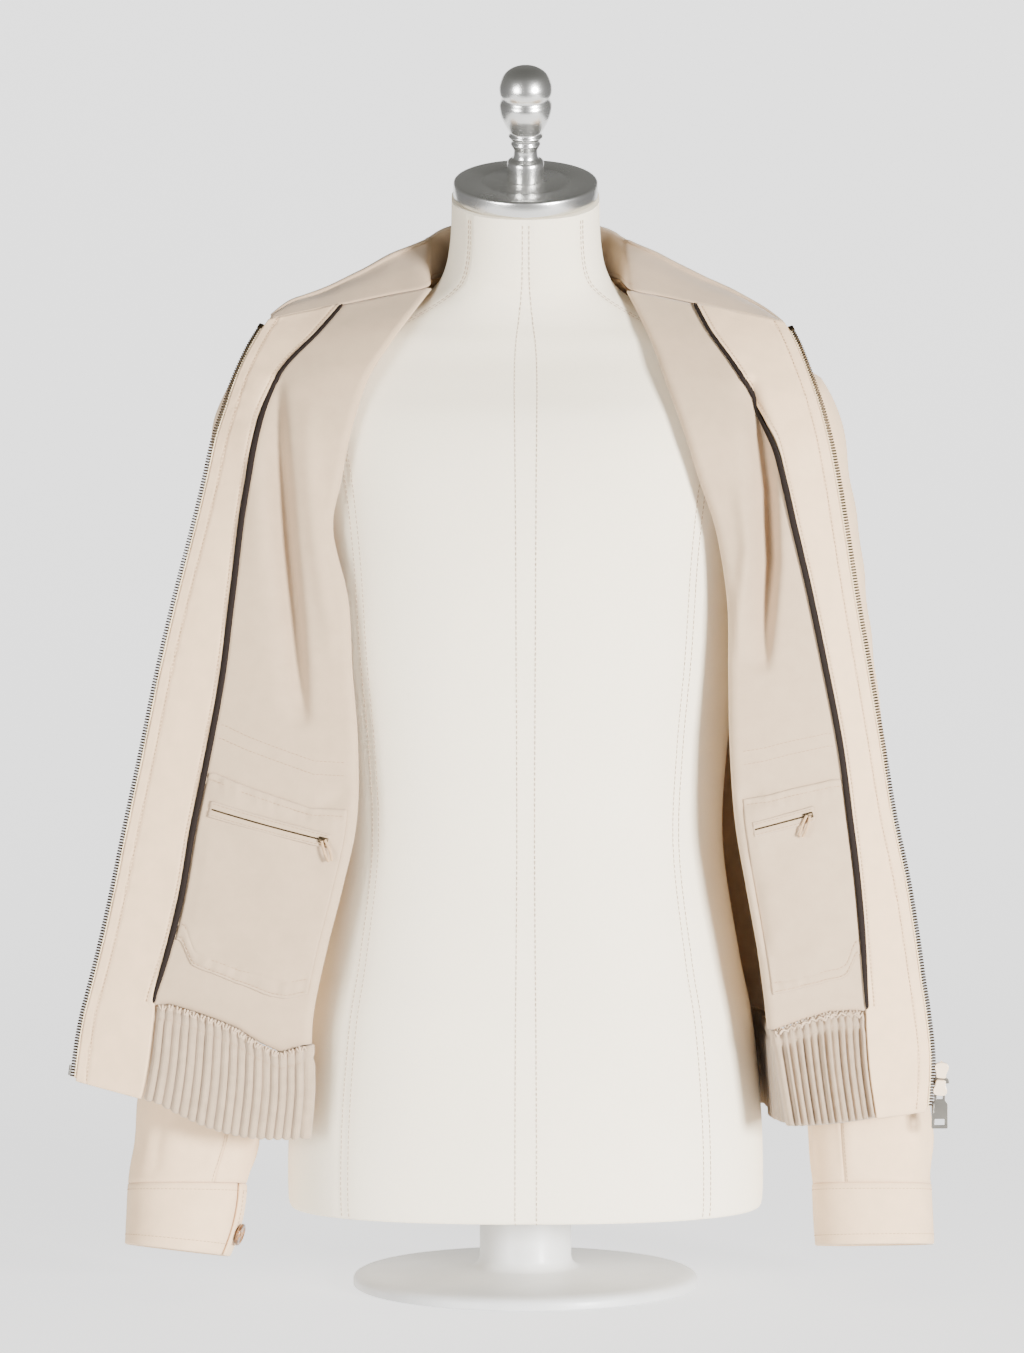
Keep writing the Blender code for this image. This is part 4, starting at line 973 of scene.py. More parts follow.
@dataclass(frozen=True)
class RibKnit:
    """Wool rib knit: stitches like small Vs stacked along each rib."""

    name: str = "rib_knit"
    colour: Colour = (0.450, 0.330, 0.218)
    stitch: float = 0.0014

    def material(self) -> bpy.types.Material:
        """The finish's material."""
        graph = Graph(self.name)
        u, v = graph.cloth_axes()
        zig = graph.math("PINGPONG", u, self.stitch * 0.62)
        lean = graph.math("ADD", v, graph.math("MULTIPLY", zig, 1.1))
        loops = graph.math("SINE", graph.math("MULTIPLY", lean, 2 * math.pi / self.stitch))
        columns = graph.math("SINE", graph.math("MULTIPLY", u, math.pi / (self.stitch * 0.62)))
        fuzz = graph.noise(1900, 3.0)
        height = graph.math("ADD", graph.math("MULTIPLY", loops, 0.5), graph.math("ABSOLUTE", columns))
        height = graph.math("ADD", height, fuzz)
        # The colour follows the stitch loops, darker in their low parts: painted shade, mixed with random
        # tone.
        tone = graph.math("ADD", graph.math("MULTIPLY", loops, 0.10), graph.noise(140, 3.0))
        colour = graph.ramp(tone, ((0.25, shade(self.colour, 0.86)), (0.75, shade(self.colour, 1.06))))
        return graph.surface(
            Base_Color=colour,
            Roughness=0.95,
            Sheen_Weight=0.3,
            Sheen_Roughness=0.55,
            Specular_IOR_Level=0.15,
            Normal=graph.bump(height, 0.00022, 0.8),
        )


@dataclass(frozen=True)
class WovenTrim:
    """Close woven tape, binding or thread with a faint cross rib."""

    name: str
    colour: Colour
    pitch: float = 0.0006
    roughness: float = 0.7
    sheen: float = 0.1

    def material(self) -> bpy.types.Material:
        """The finish's material."""
        graph = Graph(self.name)
        u, v = graph.cloth_axes()
        zig = graph.math("PINGPONG", u, self.pitch * 3)
        lean = graph.math("ADD", v, zig)
        ridges = graph.math("SINE", graph.math("MULTIPLY", lean, 2 * math.pi / self.pitch))
        fuzz = graph.noise(2200, 2.0)
        height = graph.math("ADD", graph.math("MULTIPLY", ridges, 0.4), fuzz)
        colour = graph.ramp(fuzz, ((0.3, shade(self.colour, 0.85)), (0.7, shade(self.colour, 1.08))))
        return graph.surface(
            Base_Color=colour,
            Roughness=self.roughness,
            Sheen_Weight=self.sheen,
            Specular_IOR_Level=0.15,
            Normal=graph.bump(height, 0.00012, 0.7),
        )


@dataclass(frozen=True)
class Canvas:
    """Plain-woven cotton canvas of the form."""

    name: str = "form_canvas"
    colour: Colour = (0.920, 0.825, 0.650)
    thread: float = 0.0007

    def material(self) -> bpy.types.Material:
        """The finish's material."""
        graph = Graph(self.name)
        u, v = graph.cloth_axes()
        warp = graph.math("SINE", graph.math("MULTIPLY", u, 2 * math.pi / self.thread))
        weft = graph.math("SINE", graph.math("MULTIPLY", v, 2 * math.pi / self.thread))
        slub = graph.noise(420, 4.0)
        weave = graph.math("MULTIPLY", warp, weft)
        height = graph.math("ADD", graph.math("MULTIPLY", weave, 0.4), slub)
        stain = graph.noise(9, 4.0)
        tone = graph.math("ADD", graph.math("MULTIPLY", slub, 0.35), graph.math("MULTIPLY", stain, 0.65))
        colour = graph.ramp(tone, ((0.3, shade(self.colour, 0.955)), (0.7, shade(self.colour, 1.03))))
        return graph.surface(
            Base_Color=colour,
            Roughness=0.86,
            Sheen_Weight=0.08,
            Specular_IOR_Level=0.25,
            Normal=graph.bump(height, 0.00014, 0.7),
        )


@dataclass(frozen=True)
class Metal:
    """Cast or turned metal with fine tool marks."""

    name: str
    colour: Colour
    roughness: float = 0.3
    marks: float = 900.0
    mark_depth: float = 0.00002
    dull: float = 0.12

    def material(self) -> bpy.types.Material:
        """The finish's material."""
        graph = Graph(self.name)
        grain = graph.noise(self.marks, 3.0)
        wear = graph.noise(60, 4.0)
        colour = graph.ramp(wear, ((0.3, shade(self.colour, 0.88)), (0.7, shade(self.colour, 1.06))))
        spread = graph.math("MULTIPLY_ADD", grain, self.dull, self.roughness - self.dull / 2)
        return graph.surface(
            Base_Color=colour,
            Metallic=1.0,
            Roughness=spread,
            Normal=graph.bump(grain, self.mark_depth, 0.6),
        )


@dataclass(frozen=True)
class TurnedMetal:
    """Metal finished on a lathe: rings round the axis that catch the light."""

    name: str
    colour: Colour
    roughness: float = 0.26
    pitch: float = 0.00035

    def material(self) -> bpy.types.Material:
        """The finish's material."""
        graph = Graph(self.name)
        v = graph.cloth_axes()[1]
        drift = graph.noise(300, 2.0)
        shifted = graph.math("ADD", v, graph.math("MULTIPLY", drift, 0.0004))
        phase = graph.math("MULTIPLY", shifted, 1 / self.pitch)
        rings = graph.node(
            "TexNoise", {"W": phase, "Scale": 1.0, "Detail": 3.0}, noise_dimensions="1D"
        ).outputs[0]
        wear = graph.noise(40, 4.0)
        colour = graph.ramp(rings, ((0.3, shade(self.colour, 0.9)), (0.7, shade(self.colour, 1.05))))
        spread = graph.math("MULTIPLY_ADD", wear, 0.12, self.roughness - 0.06)
        return graph.surface(
            Base_Color=colour,
            Metallic=1.0,
            Roughness=spread,
            Normal=graph.bump(rings, 0.00002, 0.5),
        )


@dataclass(frozen=True)
class Coating:
    """Enamel or powder paint over metal, or polished horn."""

    name: str
    colour: Colour
    second: Colour
    spots: float = 60.0
    roughness: float = 0.35
    coat: float = 0.4
    grain: float = 700.0

    def material(self) -> bpy.types.Material:
        """The finish's material."""
        graph = Graph(self.name)
        patches = graph.noise(self.spots, 5.0, 0.6)
        grain = graph.noise(self.grain, 2.0)
        return graph.surface(
            Base_Color=graph.ramp(patches, ((0.38, self.colour), (0.62, self.second))),
            Roughness=self.roughness,
            Coat_Weight=self.coat,
            Coat_Roughness=0.15,
            Normal=graph.bump(grain, 0.00002, 0.5),
        )


@dataclass(frozen=True)
class Leather:
    """Smooth leather with a fine grain."""

    name: str = "pull_leather"
    colour: Colour = (0.480, 0.300, 0.150)

    def material(self) -> bpy.types.Material:
        """The finish's material."""
        graph = Graph(self.name)
        place = graph.node("TexCoord").outputs["Object"]
        cells = graph.node("TexVoronoi", {"Vector": place, "Scale": 1500.0}).outputs[0]
        tone = graph.noise(200, 3.0)
        return graph.surface(
            Base_Color=graph.ramp(tone, ((0.3, shade(self.colour, 0.8)), (0.7, shade(self.colour, 1.1)))),
            Roughness=0.55,
            Normal=graph.bump(cells, 0.00008, 0.6),
        )


class Finish(Enum):
    """Every finish of the object, by the name of the record's slot it belongs to."""

    WOOL = ("wool", WoolTwill())
    # The same wool darkened to about two thirds of its colour: painted shade on the turned-back fronts, the
    # pocket bags and the welts.
    WOOL_PAINTED_SHADE = ("wool", WoolTwill("wool_painted_shade", (0.500, 0.362, 0.232)))
    # The same wool darkened to about 0.6 of its colour: painted shade inside the collar, where it faces up
    # and lies behind the neck.
    COLLAR_PAINTED_SHADE = ("wool", WoolTwill("wool_collar_painted_shade", (0.430, 0.312, 0.205)))
    RIB = ("rib", RibKnit())
    BINDING = ("binding", WovenTrim("binding_satin", (0.013, 0.008, 0.006), 0.0005, 0.75, 0.0))
    TAPE = ("tape", WovenTrim("zip_tape_twill", (0.840, 0.660, 0.420), 0.0005))
    # Thread darker than the wool, made darker still so that the stitch lines also carry the painted shade of
    # the grooves and puckers they pull into the cloth.
    THREAD = ("wool", WovenTrim("sewing_thread", (0.400, 0.250, 0.140), 0.0003, 0.6))
    EDGING = ("rib", WovenTrim("overlock_thread", (0.620, 0.460, 0.310), 0.0003, 0.7))
    ENAMEL = ("enamel", Coating("cream_enamel", (0.780, 0.610, 0.420), (0.820, 0.660, 0.470), 90, 0.32))
    GUNMETAL = ("gunmetal", Metal("gunmetal", (0.170, 0.160, 0.140), 0.38))
    TEETH = ("tape", Metal("antique_teeth", (0.060, 0.042, 0.024), 0.42))
    LEATHER = ("leather", Leather())
    HORN = ("horn", Coating("mottled_horn", (0.045, 0.018, 0.008), (0.330, 0.150, 0.045), 260, 0.22, 0.6))
    CANVAS = ("canvas", Canvas())
    NICKEL = ("nickel", TurnedMetal("satin_nickel", (0.800, 0.795, 0.770)))
    FOOT = ("foot", Coating("powder_grey", (0.560, 0.560, 0.550), (0.600, 0.600, 0.590), 20, 0.45, 0.1, 2500))


class Workshop:
    """Dresses pieces, ties them to the frame and keeps the materials."""

    def __init__(self) -> None:
        """Start with no materials made."""
        self._made: dict[str, bpy.types.Material] = {}

    def material(self, finish: Finish) -> bpy.types.Material:
        """The finish's material, made once."""
        if finish.name not in self._made:
            self._made[finish.name] = finish.value[1].material()
        return self._made[finish.name]

    def dress(self, piece: bpy.types.Object, finish: Finish) -> bpy.types.Object:
        """Give a piece its only material."""
        piece.data.materials.clear()
        piece.data.materials.append(self.material(finish))
        return piece

    def place(
        self, piece: bpy.types.Object, finish: Finish, nodes: Sequence[str] = (), body: str = "coat_on_form"
    ) -> bpy.types.Object:
        """Dress a piece, let it ride, and put it in the place of solids."""
        self.dress(piece, finish)
        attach(piece, body)
        if nodes:
            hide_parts(*nodes)
        LOG.info("%s: %d faces", piece.name, len(piece.data.polygons))
        return piece


@dataclass(frozen=True)
class Cloth:
    """Thickness of each cloth and the gap between layers, in millimetres."""

    wall: float = 1.6
    thin: float = 1.2
    rib: float = 2.0
    cuff: float = 2.2
    gap: float = 0.35


CLOTH = Cloth()


@dataclass(frozen=True)
class Cut:
    """Flat size of a piece of cloth as it was cut, in metres, its area and how it is held."""

    width: float
    length: float
    area: float
    held: str
    rests_on: tuple[str, ...] = ("form_body",)



@dataclass(frozen=True)
class Ripple:
    """Low soft unevenness of cloth that has been worn and hung.

    The waves are a few sines in set directions, so that the same place always gives the same height.
    """

    height: float
    wave: float
    seed: int = 1

    def at(self, u: Points, v: Points) -> Points:
        """Height at places across and along the cloth, in millimetres."""
        u, v = np.broadcast_arrays(np.asarray(u, float), np.asarray(v, float))
        rng = np.random.default_rng(self.seed)
        total = np.zeros(u.shape)
        for _ in range(7):
            turn, phase = rng.uniform(0, 2 * math.pi, 2)
            pitch = self.wave * rng.uniform(0.6, 1.8)
            total += np.sin((u * math.cos(turn) + v * math.sin(turn)) * 2 * math.pi / pitch + phase)
        return total * self.height / 2.6


def pucker(reach: Points, along: Points, seed: int = 3) -> Points:
    """Small gathers beside a stitched seam, fading within a centimetre of it."""
    return Ripple(0.22, 11.0, seed).at(along, 0.0) * np.exp(-((np.asarray(reach) / 5.0) ** 2))


def lengths_along(points: Points) -> Points:
    """Distance reached at each point of a line."""
    return np.concatenate([[0], np.cumsum(np.linalg.norm(np.diff(points, axis=0), axis=1))])


def surface_normals(points: Points) -> Points:
    """Unit normals of a grid of points."""
    return unit(np.cross(np.gradient(points, axis=1), np.gradient(points, axis=0)))


def between(start: float, stop: float, step: float) -> Points:
    """Even values from start to stop, about a step apart."""
    return np.linspace(start, stop, max(int(round(abs(stop - start) / step)), 1) + 1)


def repeated(name: str, shape: tuple[Points, list], seats: Points, turns: Points) -> bpy.types.Object:
    """Many copies of one small shape as one mesh."""
    points, faces = shape
    placed = seats[:, None, :] + np.einsum("pk,nkd->npd", points, turns)
    offsets = np.arange(len(seats)) * len(points)
    every = [[corner + offset for corner in face] for offset in offsets for face in faces]
    made = mesh_of(name, placed.reshape(-1, 3), every)
    made.data.set_sharp_from_angle(angle=math.radians(40))
    return made


def block(width: float, length: float, height: float, chamfer: float) -> tuple[Points, list]:
    """Box with chamfered ends and top, about its middle: points and faces."""
    points = []
    for z, inset in ((-height / 2, 0.0), (height / 2 - chamfer, 0.0), (height / 2, chamfer)):
        x, y = width / 2 - inset, length / 2 - inset
        c = chamfer * 0.8
        points += [(-x + c, -y, z), (x - c, -y, z), (x, -y + c, z), (x, y - c, z)]
        points += [(x - c, y, z), (-x + c, y, z), (-x, y - c, z), (-x, -y + c, z)]
    faces = [list(range(8))[::-1], list(range(16, 24))]
    for ring in (0, 8):
        for k in range(8):
            n = (k + 1) % 8
            faces.append([ring + k, ring + n, ring + 8 + n, ring + 8 + k])
    return np.array(points), faces


def plate_of(name: str, outlines: Sequence, thickness: float, edge: float, seat: Matrix) -> bpy.types.Object:
    """Flat plate with rounded edges, its later outlines cut out of the first.

    Args:
        name: the object's name.
        outlines: lists of (x, y) points in millimetres.
        thickness: in millimetres.
        edge: radius of the rounded edges.
        seat: where the plate's middle lies, in metres.

    Returns:
        The linked mesh object.
    """
    curve = bpy.data.curves.new(name, "CURVE")
    curve.dimensions = "2D"
    curve.fill_mode = "BOTH"
    curve.extrude = (thickness / 2 - edge) * MM
    curve.bevel_depth = edge * MM
    curve.bevel_resolution = 3
    curve.offset = -edge * MM
    for outline in outlines:
        spline = curve.splines.new("POLY")
        spline.points.add(len(outline) - 1)
        for point, (x, y) in zip(spline.points, outline):
            point.co = (x * MM, y * MM, 0, 1)
        spline.use_cyclic_u = True
    holder = bpy.data.objects.new(name, curve)
    bpy.context.scene.collection.objects.link(holder)
    mesh = bpy.data.meshes.new_from_object(holder)
    bpy.data.objects.remove(holder, do_unlink=True)
    bpy.data.curves.remove(curve)
    mesh.transform(seat)
    mesh.shade_smooth()
    mesh.set_sharp_from_angle(angle=math.radians(40))
    made = bpy.data.objects.new(name, mesh)
    bpy.context.scene.collection.objects.link(made)
    return made


def rounded(outline: Sequence[tuple[float, float]], radius: float) -> list[tuple[float, float]]:
    """Outline with its corners rounded, as (x, y) points."""
    made = []
    corners = np.array(outline, float)
    for before, here, after in zip(np.roll(corners, 1, 0), corners, np.roll(corners, -1, 0)):
        a, b = before - here, after - here
        reach = min(radius, np.linalg.norm(a) * 0.45, np.linalg.norm(b) * 0.45)
        start, stop = here + unit(a) * reach, here + unit(b) * reach
        for t in (0, 0.25, 0.5, 0.75, 1):
            made.append(tuple((1 - t) ** 2 * start + 2 * t * (1 - t) * here + t**2 * stop))
    return made


def cord_of(
    name: str, line: Points, radius: Points | float, up: Points, flat: float = 1.0
) -> bpy.types.Object:
    """Round or flattened cord along a line."""
    along = unit(np.gradient(line, axis=0))
    side = unit(np.cross(along, up))
    rise = np.cross(side, along)
    turns = np.linspace(0, 2 * math.pi, 14, endpoint=False)
    size = np.broadcast_to(np.asarray(radius, float), (len(line),))[:, None, None]
    swing = side[:, None] * np.cos(turns)[:, None] + rise[:, None] * np.sin(turns)[:, None] * flat
    return tube_of(name, line[:, None] + swing * size)


# The dress form


class DressForm:
    """Limbless form: canvas body and neck, metal neck plate, turned finial and plain foot."""

    plate_radius = 53.3
    plate_thickness = 12.6
    foot_radius = 128.0
    foot_thickness = 13.0
    post_radius = 34.0
    finial = (
        (0.0, 86.5),
        (8.0, 85.5),
        (15.0, 81.0),
        (18.8, 73.5),
        (19.2, 67.0),
        (17.8, 62.0),
        (19.2, 57.0),
        (18.0, 49.0),
        (14.5, 41.5),
        (11.8, 36.5),
        (12.6, 33.5),
        (10.2, 30.5),
        (10.9, 27.5),
        (8.8, 23.5),
        (9.4, 17.0),
        (13.3, 14.0),
        (13.3, 1.0),
        (12.4, 0.0),
    )
    seam_turn = 0.5

    def __init__(self, workshop: Workshop) -> None:
        """Keep the workshop."""
        self.workshop = workshop
        top = TORSO.rings[-1]
        tilt = Matrix.Rotation(math.radians(TORSO.neck_tilt), 4, "X")
        rise = CLOTH.gap / math.cos(math.radians(TORSO.neck_tilt))
        self.seat = Matrix.Translation(Vector((0, top[4], top[0] + rise)) * MM) @ tilt

    def column(self, side: int, half: Half, turn: float, levels: Points) -> Points:
        """Points up the form at one turn."""
        return TORSO.point(levels, side, half, turn, False)

    def body(self) -> None:
        """Canvas body with its seams drawn in by a hair."""
        levels = between(0, len(TORSO.rings) - 1, 0.1)
        quarter = np.linspace(0, 1, 33)
        columns = []
        for side, half, turns in (
            (1, Half.BACK, quarter),
            (-1, Half.BACK, quarter[::-1]),
            (-1, Half.FRONT, quarter),
            (1, Half.FRONT, quarter[::-1]),
        ):
            for turn in turns[:-1]:
                seams = np.abs(np.array((1.0, self.seam_turn)) - turn)
                point = self.column(side, half, turn, levels)
                middle = point * (0, 0, 1) + (0, 8, 0)
                groove = 0.7 * np.exp(-((seams.min() / 0.012) ** 2))
                columns.append(point - unit(point - middle) * groove)
        points = np.stack(columns, axis=1)
        body = tube_of("form_canvas_body", points)
        self.workshop.place(body, Finish.CANVAS, ["form_body"])

    def seams(self) -> None:
        """Machine stitches beside the body's seams."""
        sewing = Sewing("form_stitches", Stitching(2.6, 1.2, 0.22))
        levels = between(0.2, len(TORSO.rings) - 1.2, 0.08)
        for side in (-1, 1):
            for turn in (0.985, 0.485, 0.515):
                line = self.column(side, Half.FRONT, turn, levels)
                out = unit(line - (line * (0, 0, 1) + (0, 8, 0)))
                sewing.along(line, out)
        self.workshop.place(sewing.build(), Finish.THREAD)

    def metalwork(self) -> None:
        """Neck plate with its engraved ring, and the finial."""
        thick, radius = self.plate_thickness, self.plate_radius
        plate = [(0.01, thick), (30.6, thick), (31.2, thick - 0.25), (31.7, thick - 0.9), (32.3, thick - 0.9)]
        plate += [(32.8, thick - 0.25), (33.4, thick), (radius - 2.4, thick), (radius - 1.2, thick - 0.3)]
        plate += [(radius - 0.3, thick - 1.2), (radius, thick - 2.4), (radius, 1.6), (radius - 0.4, 0.5)]
        plate += [(radius - 1.4, 0.0), (0.01, 0.0)]
        made = turned("neck_plate_turned", plate, self.seat, 160)
        made.data.set_sharp_from_angle(angle=math.radians(40))
        self.workshop.place(made, Finish.NICKEL, ["form_neck_plate"])
        fine = smooth(np.array(self.finial), between(0, len(self.finial) - 1, 0.2))
        fine[:, 0] = np.maximum(fine[:, 0], 0.01)
        seat = self.seat @ Matrix.Translation(Vector((0, 0, thick + CLOTH.gap)) * MM)
        knob = turned("finial_turned", [*map(tuple, fine), (0.01, 0.0)], seat, 96)
        self.workshop.place(knob, Finish.NICKEL, ["form_finial"])

    def foot(self) -> None:
        """Low round foot with a short post."""
        top = TORSO.rings[0][0] - CLOTH.gap
        radius, thick, post = self.foot_radius, self.foot_thickness, self.post_radius
        profile = [(0.01, top), (post - 1, top), (post, top - 1), (post, thick + 8)]
        profile += [(post + 1.2, thick + 4), (post + 4, thick + 1.2), (post + 8, thick)]
        profile += [(radius - 12, thick - 3), (radius - 4, thick - 4.4), (radius - 1, thick - 6)]
        profile += [(radius, thick - 8), (radius, 0.6), (radius - 0.6, 0.0), (0.01, 0.0)]
        made = turned("foot_turned", profile, Matrix.Identity(4), 160)
        made.data.set_sharp_from_angle(angle=math.radians(40))
        self.workshop.place(made, Finish.FOOT, ["form_foot"])

    def build(self) -> None:
        """All of the form."""
        self.body()
        self.seams()
        self.metalwork()
        self.foot()


# The coat's fronts


@dataclass(frozen=True)
class PocketTable:
    """Inner pocket of one front: place across, and rows of its top and bottom edge there."""

    edges: Sequence[tuple[float, float, float]]
    welt: tuple[float, float, float, float]
    pull_across: float


POCKETS: dict[Side, PocketTable] = {
    Side.RIGHT: PocketTable(
        edges=(
            (0.04, 9.84, 12.70),
            (0.25, 9.80, 12.72),
            (0.50, 9.62, 12.62),
            (0.75, 9.44, 12.40),
            (0.95, 9.28, 12.16),
        ),
        welt=(0.10, 0.93, 10.28, 9.74),
        pull_across=0.14,
    ),
    Side.LEFT: PocketTable(
        edges=(
            (0.04, 9.70, 13.00),
            (0.25, 9.66, 13.00),
            (0.50, 9.58, 12.96),
            (0.75, 9.52, 12.86),
            (0.90, 9.48, 12.70),
        ),
        welt=(0.08, 0.68, 10.12, 9.92),
        pull_across=0.62,
    ),
}


class Front:
    """One front of the coat with everything that is sewn to it."""

    teeth_pitch = 2.13
    teeth_reach = 4.4
    tape_end = 15.85

    def __init__(self, workshop: Workshop, shape: FrontShape) -> None:
        """Keep the workshop and the front's shape."""
        self.workshop = workshop
        self.shape = shape
        self.side = shape.side
        self.label = shape.side.label
        self.sewing = Sewing(f"stitches_{self.label}", Stitching())

    def sew(self, place: Points, row: Points, lift: float) -> None:
        """Stitches along a line on the inner face."""
        line = self.shape.inside(place, row, lift)
        self.sewing.along(line, self.shape.normal(np.minimum(place, 2.0) + 0 * row, row))

    def place_from_edge(self, row: Points, distance: float) -> Points:
        """Place that lies a distance inside the cloth's outer edge."""
        return 2 - distance / self.shape.outer_width(row)

    def place_from_binding(self, row: Points, distance: float) -> Points:
        """Place that lies a distance outside the binding's middle."""
        return 1 + distance / self.shape.outer_width(row)

    def panel(self) -> bpy.types.Object:
        """The panel, from the side seam round the roll edge to the zip."""
        shape = self.shape
        rows = np.concatenate([shape.rows_every(3.6, 0, 14), shape.rows_every(3.6, 14, 16)[1:]])
        row = rows[:, None]
        under = shape.under(np.linspace(0, 1, 27)[:-1], row)
        roll = shape.roll(np.linspace(0, 1, 9)[:-1], row)
        inner, outer = np.linspace(0, 1, 45)[:-1], np.linspace(1, 2, 21)
        flap = shape.inside(np.concatenate([inner, outer]), row)
        points = np.concatenate([under, roll, flap], axis=1)
        beside = under.shape[1] + roll.shape[1] + len(inner)
        j, i = np.meshgrid(np.arange(len(rows) - 1), np.arange(points.shape[1] - 1), indexing="ij")
        keep = (rows[j + 1] <= 14 + 1e-6) | (i >= beside)
        made = shell(f"panel_{self.label}", points, CLOTH.wall, keep=keep)
        # The panel gets the darkened wool, painted shade on its turned-back face.
        return self.workshop.place(made, Finish.WOOL_PAINTED_SHADE, [f"front_{self.label}"])

    def binding_width(self, row: Points) -> Points:
        """Width of the dark binding, widest from chest to waist, where the cord is drawn wider than the
        binding to paint the shadow that the raised facing's edge casts on the panel beside it.
        """
        return 3.1 + 1.7 * ramp(row, 1, 5) - 2.2 * ramp(row, 11.5, 13.9)

    def groove(self, reach: Points) -> Points:
        """How far the thread pulls the cloth in, at a distance from a row of stitches."""
        return 0.55 * np.exp(-((reach / 1.2) ** 2))

    def facing(self) -> bpy.types.Object:
        """Facing from the binding to the cloth's edge, held flat by its stitches."""
        shape = self.shape
        rows = shape.rows_every(3.0, 0.02, 16)
        row = rows[:, None]
        bound = np.where(rows <= 14, self.binding_width(rows), 0) * 0.92 + 0.5
        start = self.place_from_binding(rows, bound)[:, None]
        share = np.linspace(0, 1, 53)
        place = start + (2 - start) * share
        down = lengths_along(shape.inside(1.5, rows))[:, None]
        reach = (2 - place) * shape.outer_width(rows)[:, None]
        lift = CLOTH.wall + CLOTH.gap + pucker(reach - 7.6, down) + Ripple(0.3, 34, 5).at(reach, down)
        inner = shape.outer_width(rows)[:, None] * (place - 1)
        lift = lift - self.groove(reach - 7.6) - self.groove(inner - 6.6) * (row < 14)
        points = shape.inside(place, row, lift)
        made = shell(f"facing_cloth_{self.label}", points, CLOTH.wall)
        top = CLOTH.wall * 1.5 + CLOTH.gap
        fine = shape.rows_every(2.0, 0.1, 15.9)
        self.sew(self.place_from_edge(fine, 7.6), fine, top)
        fine = shape.rows_every(2.0, 0.15, 13.9)
        self.sew(self.place_from_binding(fine, 6.6 + 0 * fine), fine, top)
        return self.workshop.place(made, Finish.WOOL, [f"facing_{self.label}"])

    def binding(self) -> bpy.types.Object:
        """Dark binding round the facing's inner edge, its top end tucked round."""
        shape = self.shape
        rows = shape.rows_every(2.4, 0.06, 13.95)
        half = self.binding_width(rows) / 2
        ends = np.minimum(np.arange(len(rows)), np.arange(len(rows))[::-1]) + 0.3
        size = half * np.minimum(np.sqrt(ends / 1.5), 1)
        line = shape.inside(self.place_from_binding(rows, half), rows, CLOTH.wall / 2 + CLOTH.gap + 1.15)
        # The cord's width holds the binding and a painted shadow beside it.
        made = cord_of(f"binding_tube_{self.label}", line, size, shape.normal(1.02 + 0 * rows, rows), 0.72)
        return self.workshop.place(made, Finish.BINDING, [f"binding_{self.label}"])

    def pocket_edge(self, across: Points, which: int) -> Points:
        """Row of the pocket's top (1) or bottom (2) edge."""
        edges = np.array(POCKETS[self.side].edges, float)
        return np.interp(across, edges[:, 0], edges[:, which])

    def pocket(self) -> bpy.types.Object:
        """Pocket bag stitched to the panel, its outer lower corner cut across."""
        shape = self.shape
        first, last = 0.012, 0.985
        across = np.linspace(first, last, 61)
        down = np.linspace(0, 1, 107)[:, None]
        top, bottom = self.pocket_edge(across, 1), self.pocket_edge(across, 2)
        cut = 0.42 * ramp(across, last - 0.17, last) ** 0.8
        bottom = bottom - cut
        row = top + (bottom - top) * down
        lift = CLOTH.wall / 2 + CLOTH.gap + CLOTH.thin / 2
        width = shape.inner_width(row)
        puff = Ripple(0.5, 30, 11).at(across * width, row * 36)
        rim = np.minimum(np.minimum(across - first, last - across) * 90 / 8, 1)
        rim = rim * np.minimum(np.minimum(down, 1 - down) * 16, 1)
        deep = (bottom - row) * 36.0
        high = (row - top) * 36.0
        seams = self.groove(deep - 1.8) + self.groove(deep - 9.4) + self.groove(high - 3.0)
        gathers = pucker(deep - 5.6, across * width, 8) * 2 + pucker(high - 3.0, across * width, 9) * 2
        points = shape.inside(across + 0 * row, row, lift + rim * (0.8 + puff) + gathers - seams)
        made = shell(f"pocket_bag_{self.label}", points, CLOTH.thin)
        face = lift + CLOTH.thin / 2
        line = np.linspace(first + 0.02, last - 0.01, 120)
        for inset in (1.8, 9.4):
            self.sew(line, np.interp(line, across, bottom) - inset / 36.0, face)
        self.sew(line, np.interp(line, across, top) + 3.0 / 36.0, face)
        rise = self.pocket_edge(line, 1) - 0.45
        for gap in (0.0, 0.17):
            self.sew(line, rise - gap, CLOTH.wall / 2)
        # The pocket bag gets the darkened wool, painted shade.
        return self.workshop.place(made, Finish.WOOL_PAINTED_SHADE, [f"pocket_{self.label}"])

    def welt_line(self, share: Points, offset: Points | float, lift: float) -> Points:
        """Points along the pocket's zip, offset down across it in millimetres."""
        across_from, across_to, row_from, row_to = POCKETS[self.side].welt
        across = across_from + (across_to - across_from) * share
        row = row_from + (row_to - row_from) * share
        return self.shape.inside(across, row + np.asarray(offset) / 36.0, lift)

    def welt(self) -> None:
        """Pocket zip: a stitched frame, the slit with its closed teeth, slider and leather pull."""
        lift = CLOTH.wall / 2 + CLOTH.gap + CLOTH.thin / 2 + CLOTH.thin + 2 * CLOTH.gap
        share = np.linspace(0, 1, 61)
        offsets = np.linspace(-3.6, 3.6, 17)
        grid = []
        for offset in offsets:
            dip = 0.55 * np.exp(-((offset / 1.0) ** 2))
            grid.append(self.welt_line(share, offset, lift - dip))
        made = shell(f"welt_{self.label}", np.array(grid), CLOTH.thin)
        # The welt gets the darkened wool, painted shade.
        self.workshop.place(made, Finish.WOOL_PAINTED_SHADE, [f"pocket_zip_{self.label}"])
        normals = self.shape.normal(0.5 + 0 * share, 10.0 + 0 * share)
        for offset in (-2.7, 2.7):
            self.sewing.along(self.welt_line(share[1:-1], offset, lift + CLOTH.thin / 2), normals[1:-1])
        seam = self.welt_line(share[1:-1], 0.0, lift + CLOTH.thin / 2 - 0.42)
        teeth = cord_of(f"welt_teeth_{self.label}", seam, 0.62, normals[1:-1], 0.5)
        self.workshop.place(teeth, Finish.TEETH)
        self.pull(lift)

